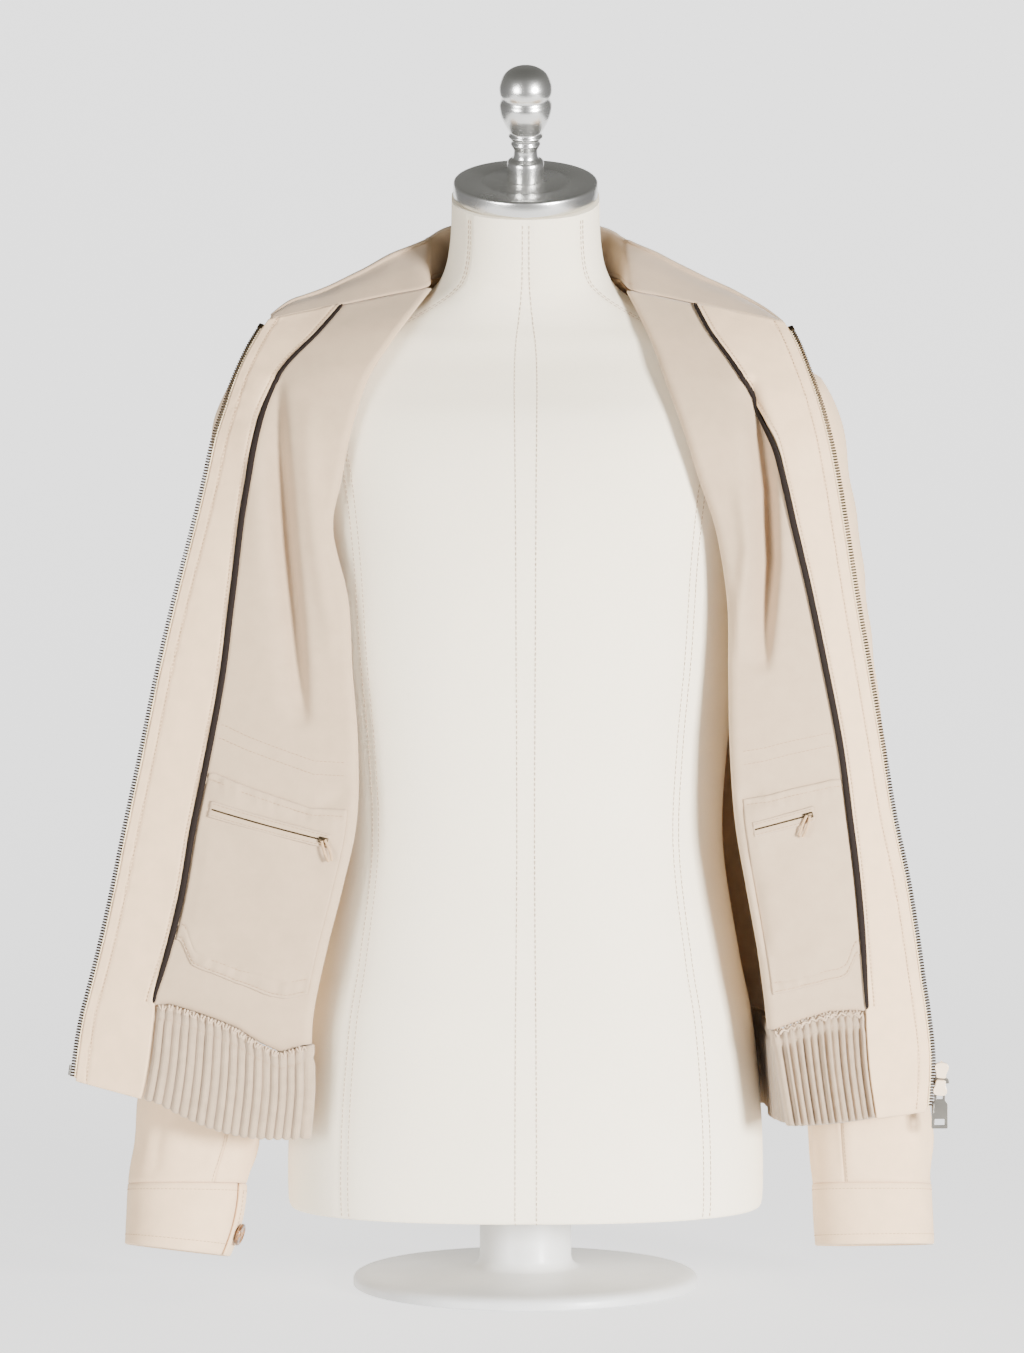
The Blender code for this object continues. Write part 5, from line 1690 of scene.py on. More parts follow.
    def pull(self, lift: float) -> None:
        """Slider of the pocket's zip with a folded leather strip hanging from it."""
        table = POCKETS[self.side]
        share = (table.pull_across - table.welt[0]) / (table.welt[1] - table.welt[0])
        seat = self.welt_line(share, 0.0, lift + 1.5)
        ahead = unit(self.welt_line(share + 0.02, 0.0, lift) - self.welt_line(share - 0.02, 0.0, lift))
        up = self.shape.normal(np.float64(table.pull_across), np.float64(10.0))
        turn = np.array([ahead, np.cross(up, ahead), up])
        body = repeated(f"pocket_slider_{self.label}", block(7.0, 4.4, 1.6, 0.5), seat[None], turn[None])
        self.workshop.place(body, Finish.TEETH)
        sign = self.side.value
        lean = unit(np.array((-0.35 * sign, -0.06, -1.0)))
        down = np.linspace(0, 16.0, 14)[:, None]
        strands = []
        for index, spread in enumerate((-1.1, 1.1)):
            bow = np.sin(math.pi * down / 16.0) * spread * 0.7
            line = seat + lean * down + np.array((1.0, 0, -0.35 * sign)) * (spread + bow)
            line = line + np.array((0, -0.9, 0)) + np.array((0, -0.4, 0)) * index
            forward = np.array((0, -1.0, 0)) + 0 * line
            strands.append(cord_of(f"strand_{self.label}_{index}", line, 1.0, forward, 0.6))
        strip = joined(f"leather_pull_{self.label}", strands)
        self.workshop.place(strip, Finish.LEATHER, [f"pocket_pull_{self.label}"])

    def zip(self) -> None:
        """Zip tape with a corded edge, its metal teeth, stops and pin."""
        shape = self.shape
        rows = shape.rows_every(2.0, 0.25, self.tape_end)
        row = rows[:, None]
        middle = (CLOTH.wall + CLOTH.gap) / 2
        out = np.linspace(CLOTH.gap * 0.6, 1.6, 5)
        place = 2 + out / shape.outer_width(row)
        tape = shell(f"tape_flat_{self.label}", shape.inside(place, row, middle), 0.8)
        up = shape.normal(2.0 + 0 * rows, rows)
        edge = shape.inside(2 + 1.9 / shape.outer_width(rows), rows, middle)
        cord = cord_of(f"tape_cord_{self.label}", edge, 0.95, up, 1.1)
        line = shape.inside(2 + 3.7 / shape.outer_width(rows), rows, middle)
        tape = joined(f"tape_{self.label}", [tape, cord])
        self.workshop.place(tape, Finish.TAPE, [f"zip_tape_{self.label}"])
        places, seats = even(line, self.teeth_pitch)
        along = unit(smooth(line, places + 0.1) - smooth(line, places - 0.1))
        rise = unit(smooth(up, places))
        side = np.cross(along, rise)
        turns = np.stack([side, along, rise], axis=1)
        teeth = repeated(f"teeth_{self.label}", block(3.6, 1.15, 2.7, 0.35), seats, turns)
        self.workshop.place(teeth, Finish.TEETH)
        top = repeated(f"top_stop_{self.label}", block(3.8, 4.6, 3.2, 0.5), seats[:1], turns[:1])
        self.workshop.place(top, Finish.TEETH)
        first, last = (15.45, 15.8) if self.side is Side.RIGHT else (15.8, 16.05)
        fine = np.linspace(first, last, 12)
        wide = 2 + (self.teeth_reach + 1.6) / shape.outer_width(np.minimum(fine, 16.0))
        pin_line = shape.inside(wide, np.minimum(fine, 16.0), middle)
        pin_line[:, 2] -= np.maximum(fine - 16.0, 0) * 36
        pin = cord_of(f"pin_{self.label}", pin_line, 1.05, np.array((0, -1.0, 0)) + 0 * pin_line)
        self.workshop.place(pin, Finish.GUNMETAL, [f"zip_pin_{self.label}"])

    def build(self) -> None:
        """Everything sewn to this front."""
        self.panel()
        self.facing()
        self.binding()
        self.pocket()
        self.welt()
        self.zip()
        stitches = self.sewing.build()
        # The thread's dark colour is partly painted shade of the stitch grooves.
        self.workshop.place(stitches, Finish.THREAD)


@dataclass(frozen=True)
class RibTable:
    """Ribs over each stretch of the hem band, and how far they stand up."""

    flap: dict[Side, int] = field(default_factory=lambda: {Side.RIGHT: 18, Side.LEFT: 12})
    under: dict[Side, int] = field(default_factory=lambda: {Side.RIGHT: 21, Side.LEFT: 18})
    back: int = 74
    height: float = 4.8
    drop: float = 1.3
    back_hem_z: float = 130.0
    back_top_z: float = 202.0


class HemRibs:
    """Rib-knit band round the hem, in a right, a left and a back part."""

    table = RibTable()
    steps = 8
    stitched = 9.5

    def __init__(self, workshop: Workshop, shapes: dict[Side, FrontShape]) -> None:
        """Keep the workshop and the fronts."""
        self.workshop = workshop
        self.shapes = shapes

    def raised(self, points: Points, phase: Points) -> Points:
        """The rows of points with soft ribs along them."""
        wave = np.abs(np.sin(math.pi * phase)) ** 0.5 * 2 - 1
        uneven = 1 + 0.18 * np.sin(phase * 2.3) + 0.1 * np.sin(phase * 5.1)
        reach = lengths_along(points[:, points.shape[1] // 2])[:, None]
        held = 1 - 0.62 * np.exp(-(((reach - self.stitched) / 2.6) ** 2)) - 0.25 * ramp(9 - reach, 0, 9)
        height = self.table.height / 2 * wave * uneven * held
        rounded_off = (1 - wave) * ramp(reach, reach[-1] - 4.5, reach[-1]) * 0.7
        points = points + surface_normals(points) * height[..., None]
        points[..., 2] += rounded_off - (1 - wave) * (1 - ramp(reach, 0, 4.0)) * 0.9
        return points

    def front(self, side: Side) -> None:
        """Band from the side seam round the roll edge to the facing."""
        shape = self.shapes[side]
        rows = shape.rows_every(3.0, 14, 16)
        row = rows[:, None]
        flap, under = self.table.flap[side], self.table.under[side]
        stop = (1 - 2.4 / shape.inner_width(rows))[:, None]
        below = np.linspace(0.004, 1, under * self.steps + 1)[:-1]
        round_edge = np.linspace(0, 1, self.steps + 1)[:-1]
        across = np.linspace(0, 1, flap * self.steps + 1)
        points = np.concatenate(
            [shape.under(below, row), shape.roll(round_edge, row), shape.inside(across * stop, row)],
            axis=1,
        )
        points[:, len(below) + len(round_edge) :, 1] -= 1.7 * (1 - ramp(rows, 14.0, 14.5))[:, None]
        points[..., 2] -= self.table.drop * (1 - ramp(rows, 14, 14.5))[:, None]
        phase = np.arange(points.shape[1]) / self.steps
        raised = self.raised(points, phase)
        made = shell(f"rib_{side.label}", raised, CLOTH.rib)
        self.workshop.place(made, Finish.RIB, [f"hem_rib_{side.label}"])
        shown = raised[:, len(below) + len(round_edge) :]
        self.overlock(side, shown[0], np.array((0, -1.0, 0)) + 0 * shown[0])
        sewing = Sewing(f"rib_stitches_{side.label}", Stitching())
        place = int(np.argmin(np.abs(lengths_along(shown[:, 0]) - self.stitched)))
        sewing.along(shown[place] + (0, -CLOTH.rib / 2, 0), np.array((0, -1.0, 0)) + 0 * shown[place])
        self.workshop.place(sewing.build(), Finish.THREAD)

    def overlock(self, side: Side, line: Points, up: Points) -> None:
        """Looped thread over the band's raw top edge."""
        places, spots = even(line, 1.25)
        rise = unit(np.cross(np.gradient(spots, axis=0), smooth(up, places)))
        rise = rise * np.sign(rise[:, 2:])
        swing = np.where(np.arange(len(spots)) % 2, 1.5, -3.4)[:, None]
        loops = spots + rise * swing + (0, -CLOTH.rib / 2 - 0.5, 0)
        fine = smooth(loops, between(0, len(loops) - 1, 0.34))
        thread = cord_of(f"overlock_{side.label}", fine, 0.55, np.array((0, -1.0, 0)) + 0 * fine)
        self.workshop.place(thread, Finish.EDGING)

    def back(self) -> None:
        """Band across the back, from side seam to side seam."""
        top, hem = self.table.back_top_z - self.table.drop, self.table.back_hem_z
        lines = []
        for z in between(top, hem, 3.6):
            level = TORSO.level(z)
            start = float(TORSO.edge_turn(z, Half.BACK)) + 0.004
            fine = TORSO.point(level, 1, Half.BACK, np.linspace(start, 1, 200), True)
            reached = lengths_along(fine)
            wanted = np.linspace(0, reached[-1], self.table.back // 2 * self.steps + 1)
            left = np.stack([np.interp(wanted, reached, fine[:, k]) for k in range(3)], axis=1)
            right = left * (-1, 1, 1)
            lines.append(np.concatenate([right, left[-2::-1]]))
        points = np.array(lines)
        phase = np.arange(points.shape[1]) / self.steps
        made = shell("rib_back", self.raised(points, phase), CLOTH.rib)
        self.workshop.place(made, Finish.RIB, ["hem_rib_back"])

    def build(self) -> None:
        """All three parts."""
        for side in Side:
            self.front(side)
        self.back()


# Back, collar and sleeves


class Back:
    """Back panel with soft folds that gather towards the hem band."""

    creases = (
        Crease([(-120, 215), (-112, 300), (-108, 360)], 11, 3.0),
        Crease([(-70, 212), (-66, 280), (-72, 340)], 10, 2.6),
        Crease([(-20, 212), (-24, 270), (-18, 320)], 11, 2.4),
        Crease([(32, 212), (30, 290), (38, 350)], 10, 2.8),
        Crease([(84, 212), (80, 285), (70, 330)], 11, 2.6),
        Crease([(128, 215), (118, 300), (112, 350)], 11, 3.0),
        Crease([(-150, 600), (-110, 570), (-60, 520)], 14, 3.0),
        Crease([(150, 600), (110, 565), (64, 510)], 14, 3.0),
        Crease([(-140, 440), (-80, 412), (0, 405), (70, 415)], 15, 2.4),
        Crease([(140, 380), (80, 360), (10, 350)], 13, 2.0),
    )

    def __init__(self, workshop: Workshop) -> None:
        """Keep the workshop."""
        self.workshop = workshop

    def points(self) -> Points:
        """Rows of points from the neck seam down to the band."""
        top, low = float(TORSO.level(TORSO.neck_seam_z)), float(TORSO.level(HemRibs.table.back_top_z))
        fine = np.linspace(top, low, 400)
        line = TORSO.point(fine, 1, Half.BACK, 0.5, True)
        reached = lengths_along(line)
        levels = np.interp(between(0, reached[-1], 4.2), reached, fine)
        z = smooth(TORSO.rings, levels)[:, 0]
        start = TORSO.edge_turn(z, Half.BACK)[:, None]
        turns = start + (1 - start) * np.linspace(0, 1, 51)
        right = TORSO.point(levels[:, None], -1, Half.BACK, turns, True)
        left = TORSO.point(levels[:, None], 1, Half.BACK, turns[:, :-1], True)[:, ::-1]
        points = np.concatenate([right, left], axis=1)
        rise = Ripple(0.5, 80, 21).at(points[..., 0], points[..., 2])
        for crease in self.creases:
            rise = rise + crease.rise(points[..., 0], points[..., 2])
        edge = np.minimum(np.arange(points.shape[1]), np.arange(points.shape[1])[::-1]) / 12
        rise = rise * np.minimum(edge, 1) * ramp(744 - points[..., 2], 0, 30)
        rise = rise * ramp(points[..., 2], 202, 216)
        return points + surface_normals(points) * (rise * self.outward(points))[..., None]

    def outward(self, points: Points) -> Points:
        """1 where the grid's normals point away from the body, else -1."""
        return np.sign(surface_normals(points)[..., 1])

    def build(self) -> bpy.types.Object:
        """The panel."""
        made = shell("back_panel", self.points(), CLOTH.wall)
        return self.workshop.place(made, Finish.WOOL, ["back"])


class Collar:
    """Collar laid open, with edge stitching and a single row along its stand."""

    def __init__(self, workshop: Workshop, shape: CollarShape) -> None:
        """Keep the workshop and the collar's shape."""
        self.workshop = workshop
        self.shape = shape

    def points(self, across: Points, trim: float = 0.0) -> Points:
        """Rows of points from the right end round the back to the left end."""
        places = np.linspace(trim, 9, 100)
        right = self.shape.half(Side.RIGHT, places, across)
        left = self.shape.half(Side.LEFT, places, across)
        line = np.concatenate([right, left[-2::-1]])
        reach = lengths_along(line[:, 0])[:, None]
        rise = Ripple(0.5, 42, 31).at(reach, across * 12.0) * ramp(across, 0.2, 1.5)
        normals = np.cross(np.gradient(line, axis=1), np.gradient(line, axis=0))
        return line + unit(normals) * rise[..., None] * 0.6

    def build(self) -> bpy.types.Object:
        """The collar and its stitches."""
        across = np.concatenate(
            [np.linspace(0, 2, 13)[:-1], np.linspace(2, 5, 19)[:-1], np.linspace(5, 7, 15)]
        )
        made = shell("collar_painted_shade", self.points(across), CLOTH.wall)
        # The collar gets the darkened wool, painted shade.
        self.workshop.place(made, Finish.COLLAR_PAINTED_SHADE, ["collar"])
        sewing = Sewing("collar_stitches", Stitching())
        for at in (0.25, 6.75):
            fine = self.points(np.array([at - 0.15, at, at + 0.15]), 0.25)
            normals = unit(np.cross(fine[:, 2] - fine[:, 0], np.gradient(fine[:, 1], axis=0)))
            away = fine[:, 1] * (1, 1, 0) - (0, 10, 0)
            sign = np.sign((normals * away).sum(axis=1, keepdims=True))
            outward = 1 if at > 5 else -1
            normals = normals * sign * outward
            sewing.along(fine[:, 1] + normals * CLOTH.wall / 2, normals)
        self.workshop.place(sewing.build(), Finish.THREAD)
        return made


class Sleeve:
    """Two-piece sleeve with its buttoned cuff."""

    folds = (
        Crease([(-70, 470), (-30, 440), (10, 425)], 9, -3.0),
        Crease([(85, 400), (50, 370), (10, 352)], 9, 3.0),
        Crease([(-80, 350), (-40, 330), (0, 322)], 8, -2.6),
        Crease([(95, 318), (60, 296), (15, 286)], 8, 2.8),
        Crease([(110, 260), (70, 240), (20, 236)], 8, 2.4),
        Crease([(-100, 230), (-60, 210), (-20, 200)], 8, 2.4),
        Crease([(60, 580), (66, 520), (60, 460)], 12, 2.6),
        Crease([(-60, 580), (-64, 520), (-58, 450)], 12, 2.6),
        Crease([(10, 150), (14, 120), (12, 84)], 6, 1.8),
        Crease([(45, 145), (42, 112), (44, 84)], 6, -1.8),
        Crease([(80, 150), (84, 115), (82, 84)], 6, 2.0),
        Crease([(-40, 140), (-36, 110), (-38, 84)], 6, 1.8),
        Crease([(-85, 150), (-80, 110), (-84, 84)], 6, 1.8),
        Crease([(125, 140), (128, 112), (126, 84)], 6, -1.6),
    )
    button_turn = {Side.RIGHT: 168.0, Side.LEFT: 236.0}
    button_drop = {Side.RIGHT: 0.70, Side.LEFT: 0.5}
    tuck = {Side.RIGHT: 11.0, Side.LEFT: 0.0}
    lap_degrees = 34.0
    millimetres_a_degree = 0.75
    seam_gap = 1.1

    def __init__(self, workshop: Workshop, shape: SleeveShape) -> None:
        """Keep the workshop and the sleeve's shape."""
        self.workshop = workshop
        self.shape = shape
        self.side = shape.side
        self.label = shape.side.label
        self.sewing = Sewing(f"sleeve_stitches_{self.label}", Stitching())

    def points(self, degrees: Points, places: Points) -> Points:
        """Rows of points of the sleeve with its folds."""
        points = self.shape.point(degrees[None, :], places[:, None])
        around = (degrees + 180) % 360 - 180
        round_mm = (around * self.millimetres_a_degree)[None, :] + 0 * points[..., 2]
        middle = points.mean(axis=1, keepdims=True)[..., 2] + 0 * points[..., 2]
        height = 0.5 * (middle + points[..., 2])
        rise = Ripple(0.7, 60, 41 + self.side.value).at(round_mm, height)
        for fold in self.folds:
            rise = rise + fold.rise(round_mm, height)
        rise = rise * ramp(places, 0, 1.4)[:, None] * (1 - ramp(places, 9.9, 10.0) * 0.7)[:, None]
        outer = np.maximum(np.cos(np.radians(degrees)), 0)[None, :] * (height > 420)
        held_in = outer * np.exp(-(((height - 545) / 62) ** 2))
        points[..., 0] += self.tuck[self.side] * held_in
        normals = surface_normals(points)
        facing = np.sign((normals * (points - self.axis(places))).sum(axis=-1, keepdims=True))
        return points + normals * facing * rise[..., None]

    def axis(self, places: Points) -> Points:
        """Middle of the sleeve at each place."""
        turns = np.arange(0, 360, 30.0)
        return self.shape.point(turns[None, :], places[:, None]).mean(axis=1, keepdims=True)

    def places(self) -> Points:
        """Places about 3.4 mm apart down the sleeve's outer side."""
        fine = np.linspace(0, 10, 600)
        reached = lengths_along(self.shape.point(90.0, fine))
        return np.interp(between(0, reached[-1], 3.4), reached, fine)

    def cloth(self) -> None:
        """Top and under piece."""
        front_seam, back_seam = self.shape.table.seams
        places = self.places()
        spans = {"top": (back_seam - 360, front_seam, 76), "under": (front_seam, back_seam, 34)}
        for part, (start, stop, count) in spans.items():
            degrees = np.linspace(start + self.seam_gap / 2, stop - self.seam_gap / 2, count)
            made = shell(f"sleeve_{part}_cloth_{self.label}", self.points(degrees, places), CLOTH.wall)
            self.workshop.place(made, Finish.WOOL, [f"sleeve_{part}_{self.label}"])
        for seam in (front_seam - 3.0, back_seam + 3.0):
            fine = self.points(np.array([seam - 1, seam, seam + 1]), places)
            normals = unit(np.cross(fine[:, 2] - fine[:, 0], np.gradient(fine[:, 1], axis=0)))
            away = fine[:, 1] - self.axis(places)[:, 0]
            normals = normals * np.sign((normals * away).sum(axis=1, keepdims=True))
            self.sewing.along(fine[4:, 1] + normals[4:] * CLOTH.wall / 2, normals[4:])

    def cuff_points(self, degrees: Points, drops: Points, lift: Points | float = 0.0) -> Points:
        """Points on the cuff, moved out by a lift."""
        points = self.shape.cuff(degrees[None, :], drops[:, None])
        wide = self.shape.cuff(degrees[None, :] + 1.0, drops[:, None])
        low = self.shape.cuff(degrees[None, :], drops[:, None] + 1.0)
        normals = unit(np.cross(wide - points, low - points))
        middle = self.shape.cuff(np.arange(0, 360, 30.0)[None, :], drops[:, None]).mean(axis=1, keepdims=True)
        normals = normals * np.sign((normals * (points - middle)).sum(axis=-1, keepdims=True))
        self.cuff_normals = normals
        return points + normals * (np.asarray(lift) + 0 * points[..., 0])[..., None]

    def cuff(self) -> None:
        """Cuff that laps over itself, stitched near its edges, with its button."""
        turn = self.button_turn[self.side]
        start = turn - 13.0
        degrees = np.linspace(start, start + 360 + self.lap_degrees, 150)
        below = (degrees - start - 350) / 10
        lift = -(CLOTH.cuff + 0.3) * ramp(below, 0, 1)
        drops = between(1.2, self.shape.table.cuff_height, 2.6)
        points = self.cuff_points(degrees, drops, lift[None, :] + 0 * drops[:, None])
        made = shell(f"cuff_cloth_{self.label}", points, CLOTH.cuff)
        self.workshop.place(made, Finish.WOOL, [f"cuff_{self.label}"])
        shown = degrees[(degrees > start + 3) & (degrees < start + 357)]
        for drop in (5.0, self.shape.table.cuff_height - 6.5):
            line = self.cuff_points(shown, np.array([drop]), CLOTH.cuff / 2)[0]
            self.sewing.along(line, self.cuff_normals[0])
        sides = between(5.0, self.shape.table.cuff_height - 6.5, 2.0)
        line = self.cuff_points(np.array([start + 7.0]), sides, CLOTH.cuff / 2)[:, 0]
        self.sewing.along(line, self.cuff_normals[:, 0])
        self.button(turn)

    def button(self, turn: float) -> None:
        """Button with a rim, sewn on with crossed thread; its four holes are not cut."""
        drop = np.array([self.shape.table.cuff_height * self.button_drop[self.side]])
        base = self.cuff_points(np.array([turn]), drop, CLOTH.cuff / 2 + CLOTH.gap + 0.4)[0, 0]
        out = self.cuff_normals[0, 0]
        seat = Matrix.Translation(Vector(base) * MM)
        seat = seat @ Vector(out).to_track_quat("Z", "Y").to_matrix().to_4x4()
        profile = [(0.01, 2.2), (5.2, 2.2), (5.9, 2.5), (6.6, 3.0), (7.4, 3.0), (8.1, 2.6), (8.5, 1.9)]
        profile += [(8.3, 1.1), (7.4, 0.3), (6.6, 0.0), (0.01, 0.0)]
        made = turned(f"button_{self.label}", profile, seat, 56)
        self.workshop.place(made, Finish.HORN, [f"cuff_button_{self.label}"])
        threads = []
        for angle in (45, 135):
            across = seat @ Matrix.Rotation(math.radians(angle), 4, "Z")
            ends = [(-2.0, 1.9), (-1.6, 2.5), (0, 2.75), (1.6, 2.5), (2.0, 1.9)]
            line = np.array([across @ (Vector((x, 0, z)) * MM) for x, z in ends]) / MM
            up = np.array([out] * len(line))
            threads.append(cord_of(f"button_thread_{angle}_{self.label}", line, 0.45, up))
        self.workshop.place(joined(f"button_thread_{self.label}", threads), Finish.THREAD)

    def build(self) -> None:
        """Sleeve, cuff, button and stitches."""
        self.cloth()
        self.cuff()
        self.workshop.place(self.sewing.build(), Finish.THREAD)


# Zip hardware at the foot of the left front


@dataclass(frozen=True)
class ZipHardware:
    """Two enamelled sliders back to back, their bridges and their metal pull tabs."""

    thickness: float = 5.0
    length: float = 11.4
    wide: float = 10.4
    narrow: float = 7.2
    tab_thickness: float = 1.2
    tab_width: float = 11.8
    eye_width: float = 8.0
    eye_length: float = 8.6
    bar: float = 1.9
    bodies: tuple[tuple[str, int, float], ...] = (("upper", 1, 13.5), ("lower", -1, 29.0))

    def seat(self, node: str) -> Vector:
        """Middle of a node's box, in millimetres."""
        low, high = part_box(node)
        return (Vector(low) + Vector(high)) / 2 / MM

    def frame(self, which: str) -> Matrix:
        """Slider's frame: X outward, Y up along the zip, Z forward."""
        low, high = self.seat("zip_slider_lower"), self.seat("zip_slider_upper")
        up = (high - low).normalized()
        across = (Vector((1, 0, 0)) - up * up.x).normalized()
        turn = Matrix((across, up, across.cross(up))).transposed().to_4x4()
        return Matrix.Translation(self.seat(f"zip_slider_{which}") * MM) @ turn

    def body_outline(self, flip: int, inset: float = 0.0) -> list[tuple[float, float]]:
        """Waisted outline of a slider."""
        length, wide, narrow = self.length - 2 * inset, self.wide / 2 - inset, self.narrow / 2 - inset
        half = [
            (narrow, -length / 2),
            (narrow, -length * 0.2),
            (wide, length * 0.12),
            (wide * 0.96, length * 0.36),
            (wide * 0.5, length / 2),
        ]
        outline = half + [(-x, y) for x, y in reversed(half)]
        return rounded([(x, y * flip) for x, y in outline], 1.8)

    def slider(self, which: str, flip: int, workshop: Workshop) -> None:
        """Slider body of two plates on a post, with its wire bridge."""
        frame = self.frame(which)
        wing = self.thickness * 0.36
        plates = []
        for name, z in (("front", self.thickness / 2 - wing / 2), ("back", -self.thickness / 2 + wing / 2)):
            seat = frame @ Matrix.Translation(Vector((0, 0, z)) * MM)
            plates.append(plate_of(f"slider_{name}_{which}", [self.body_outline(flip)], wing, 0.6, seat))
        plates.append(
            plate_of(f"slider_post_{which}", [self.body_outline(flip, 1.3)], self.thickness - 1.2, 0.3, frame)
        )
        body = joined(f"slider_{which}", plates)
        workshop.place(body, Finish.ENAMEL, [f"zip_slider_{which}"])
        back, hinge = -self.thickness / 2 - CLOTH.gap, self.length * 0.2 * flip
        ends = [
            (0, hinge - 3.4, back - 0.7),
            (0, hinge - 3.4, back - 2.2),
            (0, hinge - 2.2, back - 3.2),
            (0, hinge + 2.2, back - 3.2),
            (0, hinge + 3.4, back - 2.2),
            (0, hinge + 3.4, back - 0.7),
        ]
        fine = smooth(np.array(ends, float), between(0, 5, 0.2))
        line = np.array([frame @ (Vector(point) * MM) for point in fine]) / MM
        up = np.array([frame.to_3x3() @ Vector((1, 0, 0))] * len(line))
        bridge = cord_of(f"bridge_{which}", line, 0.7, up)
        workshop.place(bridge, Finish.ENAMEL, [f"zip_bridge_{which}"])

    def tab(self, which: str, length: float, workshop: Workshop) -> None:
        """Pull tab that hangs from the bridge and swings up off the coat."""
        low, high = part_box(f"zip_tab_{which}")
        middle = (Vector(low) + Vector(high)) / 2
        top = self.bar / 2
        hinge = Vector((middle.x, middle.y, high[2] - top * MM))
        eye, wide, shoulder = self.eye_width / 2, self.tab_width / 2, top - self.eye_length
        foot = top - length
        outline = [
            (-eye, top),
            (eye, top),
            (eye, shoulder),
            (wide, shoulder - 2),
            (wide, foot),
            (-wide, foot),
            (-wide, shoulder - 2),
            (-eye, shoulder),
        ]
        inner = eye - self.bar
        hole = [
            (-inner, -self.bar / 2),
            (inner, -self.bar / 2),
            (inner, shoulder + 1.2),
            (-inner, shoulder + 1.2),
        ]
        outlines = [rounded(outline, 1.0), rounded(hole, 0.7)]
        if which == "lower":
            slot = [(-3.6, foot + 7.0), (3.6, foot + 7.0), (3.6, foot + 2.6), (-3.6, foot + 2.6)]
            outlines.append(rounded(slot, 0.6))
        seat = Matrix.Translation(hinge) @ Matrix.Rotation(math.pi / 2, 4, "X")
        made = plate_of(f"tab_{which}", outlines, self.tab_thickness, 0.3, seat)
        workshop.place(made, Finish.GUNMETAL, [f"zip_tab_{which}"], f"{which}_pull_tab")

    def build(self, workshop: Workshop) -> None:
        """Both sliders with their tabs."""
        for which, flip, length in self.bodies:
            self.slider(which, flip, workshop)
            self.tab(which, length, workshop)


# Floor, light and camera


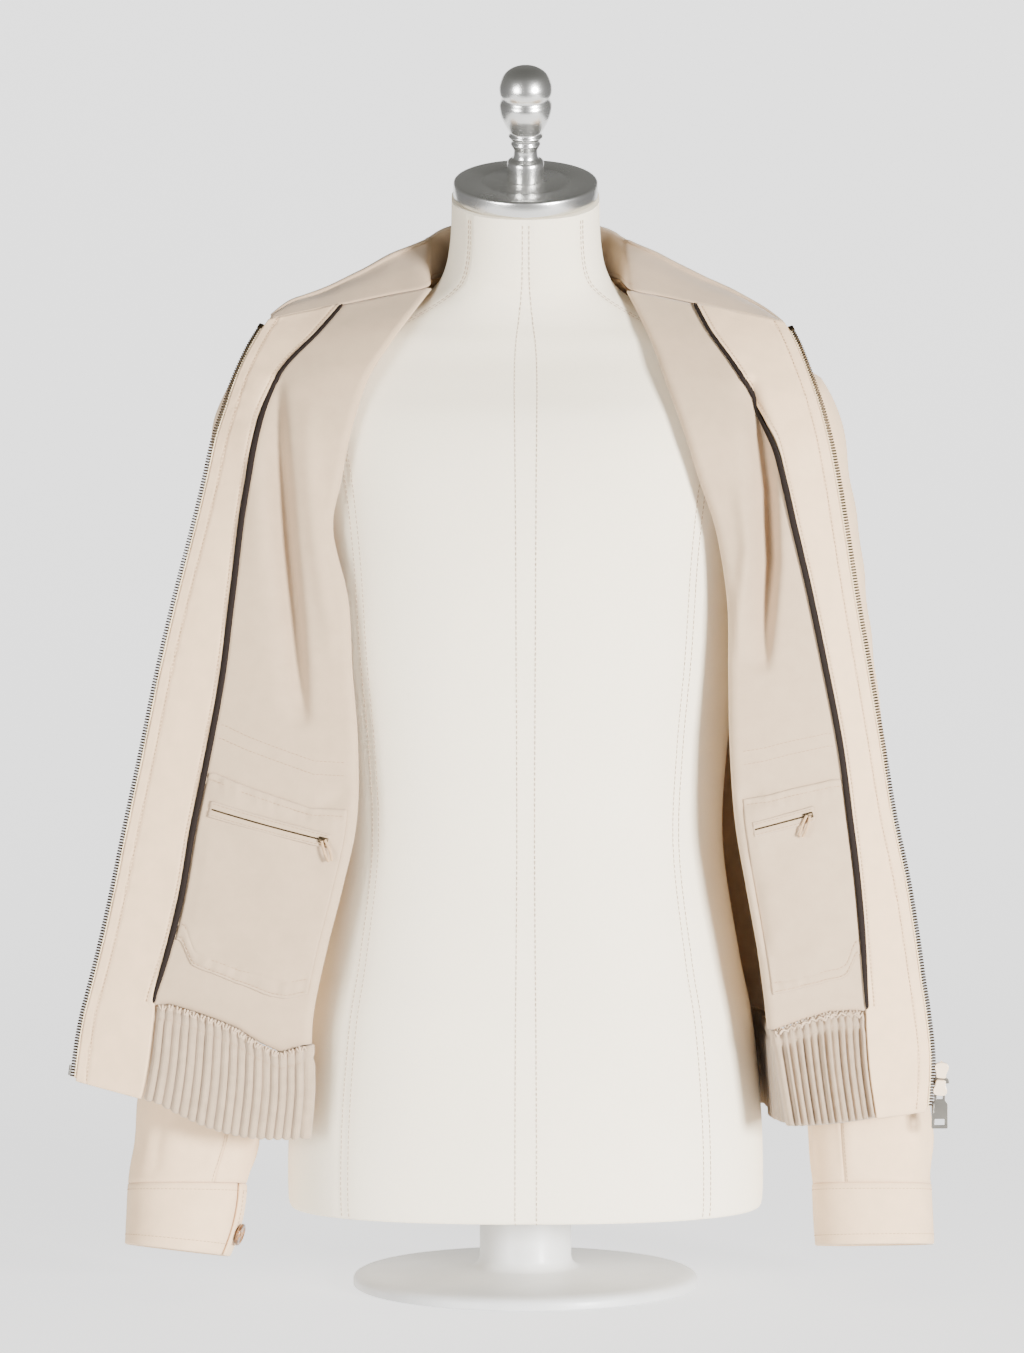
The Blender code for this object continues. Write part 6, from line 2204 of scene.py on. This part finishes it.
@dataclass(frozen=True)
class Studio:
    """Pale floor that sweeps up behind, broad soft lights and the camera."""

    floor: Colour = (0.300, 0.300, 0.300)
    glow: float = 1.75
    half_width: float = 1.7
    front: float = 1.1
    height: float = 1.75
    back: float = 3.0
    room: tuple[tuple[float, Colour], ...] = (
        (0.0, (0.26, 0.26, 0.26)),
        (0.52, (0.28, 0.28, 0.28)),
        (0.66, (0.25, 0.25, 0.24)),
        (1.0, (0.16, 0.16, 0.15)),
    )
    lights: tuple[tuple[str, tuple[float, float, float], float, float], ...] = (
        ("key", (2.5, -2.9, 0.66), 0.8, 540.0),
        ("fill", (-2.4, -3.0, 0.55), 1.4, 165.0),
    )
    aim: tuple[float, float, float] = (-0.010, 0.0, 0.452)
    eye: tuple[float, float, float] = (-0.010, -4.000, 0.640)
    lens: float = 190.2

    def sweep(self) -> bpy.types.Object:
        """Floor and backdrop in one curved sheet."""
        radius = 1.2
        line = [(-self.front, 0.0), (self.back - radius, 0.0)]
        for k in range(1, 25):
            angle = math.pi / 2 * k / 24
            line.append((self.back - radius + radius * math.sin(angle), radius - radius * math.cos(angle)))
        line.append((self.back, self.height))
        wide = self.half_width
        points = [(x, y, z) for y, z in line for x in (-wide, wide)]
        faces = [(2 * k, 2 * k + 1, 2 * k + 3, 2 * k + 2) for k in range(len(line) - 1)]
        mesh = bpy.data.meshes.new("studio_sweep")
        mesh.from_pydata(points, [], faces)
        mesh.shade_smooth()
        made = bpy.data.objects.new("studio_sweep", mesh)
        bpy.context.scene.collection.objects.link(made)
        paper = Graph("studio_paper").surface(
            Base_Color=(*self.floor, 1.0),
            Roughness=0.95,
            Specular_IOR_Level=0.1,
            Emission_Color=(1.0, 1.0, 1.0, 1.0),
            Emission_Strength=self.glow,
        )
        made.data.materials.append(self.one_sided(paper))
        return made

    def one_sided(self, paper: bpy.types.Material) -> bpy.types.Material:
        """Clear the paper from behind, so that the coat's back can be looked at."""
        tree = paper.node_tree
        output = next(node for node in tree.nodes if node.type == "OUTPUT_MATERIAL")
        front = output.inputs["Surface"].links[0].from_socket
        mix = tree.nodes.new("ShaderNodeMixShader")
        side = tree.nodes.new("ShaderNodeNewGeometry")
        clear = tree.nodes.new("ShaderNodeBsdfTransparent")
        tree.links.new(side.outputs["Backfacing"], mix.inputs[0])
        tree.links.new(front, mix.inputs[1])
        tree.links.new(clear.outputs[0], mix.inputs[2])
        tree.links.new(mix.outputs[0], output.inputs["Surface"])
        return paper

    def light(self, name: str, place: tuple[float, float, float], size: float, power: float) -> None:
        """One square area light aimed at the coat."""
        lamp = bpy.data.lights.new(name, "AREA")
        lamp.size = size
        lamp.energy = power
        holder = bpy.data.objects.new(name, lamp)
        holder.location = place
        holder.rotation_euler = (Vector(self.aim) - Vector(place)).to_track_quat("-Z", "Y").to_euler()
        bpy.context.scene.collection.objects.link(holder)

    def camera(self) -> None:
        """Upright camera from a little above, looking slightly down."""
        lens = bpy.data.cameras.new("camera")
        lens.sensor_fit = "HORIZONTAL"
        lens.sensor_width = 36.0
        lens.lens = self.lens
        lens.clip_end = 40.0
        holder = bpy.data.objects.new("camera", lens)
        holder.location = self.eye
        holder.rotation_euler = (Vector(self.aim) - Vector(self.eye)).to_track_quat("-Z", "Y").to_euler()
        bpy.context.scene.collection.objects.link(holder)
        bpy.context.scene.camera = holder

    def build(self) -> None:
        """Everything round the object."""
        self.sweep()
        for light in self.lights:
            self.light(*light)
        world = bpy.data.worlds.new("soft_room")
        world.use_nodes = True
        tree = world.node_tree
        height = tree.nodes.new("ShaderNodeSeparateXYZ")
        share = tree.nodes.new("ShaderNodeMath")
        share.operation = "MULTIPLY_ADD"
        share.inputs[1].default_value = 0.5
        share.inputs[2].default_value = 0.5
        tone = tree.nodes.new("ShaderNodeValToRGB")
        while len(tone.color_ramp.elements) < len(self.room):
            tone.color_ramp.elements.new(0.5)
        for element, (place, colour) in zip(tone.color_ramp.elements, self.room):
            element.position = place
            element.color = (*colour, 1.0)
        tree.links.new(tree.nodes.new("ShaderNodeTexCoord").outputs["Generated"], height.inputs[0])
        tree.links.new(height.outputs[2], share.inputs[0])
        tree.links.new(share.outputs[0], tone.inputs[0])
        tree.links.new(tone.outputs[0], tree.nodes["Background"].inputs[0])
        bpy.context.scene.world = world
        self.camera()


def main() -> None:
    """Build every piece in the order that a maker would, then the studio."""
    logging.basicConfig(level=logging.INFO, format="%(name)s %(message)s")
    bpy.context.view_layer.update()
    workshop = Workshop()
    shapes = {side: FrontShape(side) for side in Side}
    DressForm(workshop).build()
    Back(workshop).build()
    for side in Side:
        Front(workshop, shapes[side]).build()
        Sleeve(workshop, SleeveShape(side)).build()
    HemRibs(workshop, shapes).build()
    Collar(workshop, CollarShape(shapes)).build()
    ZipHardware().build(workshop)
    Studio().build()
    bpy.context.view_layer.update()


if __name__ == "__main__":
    main()
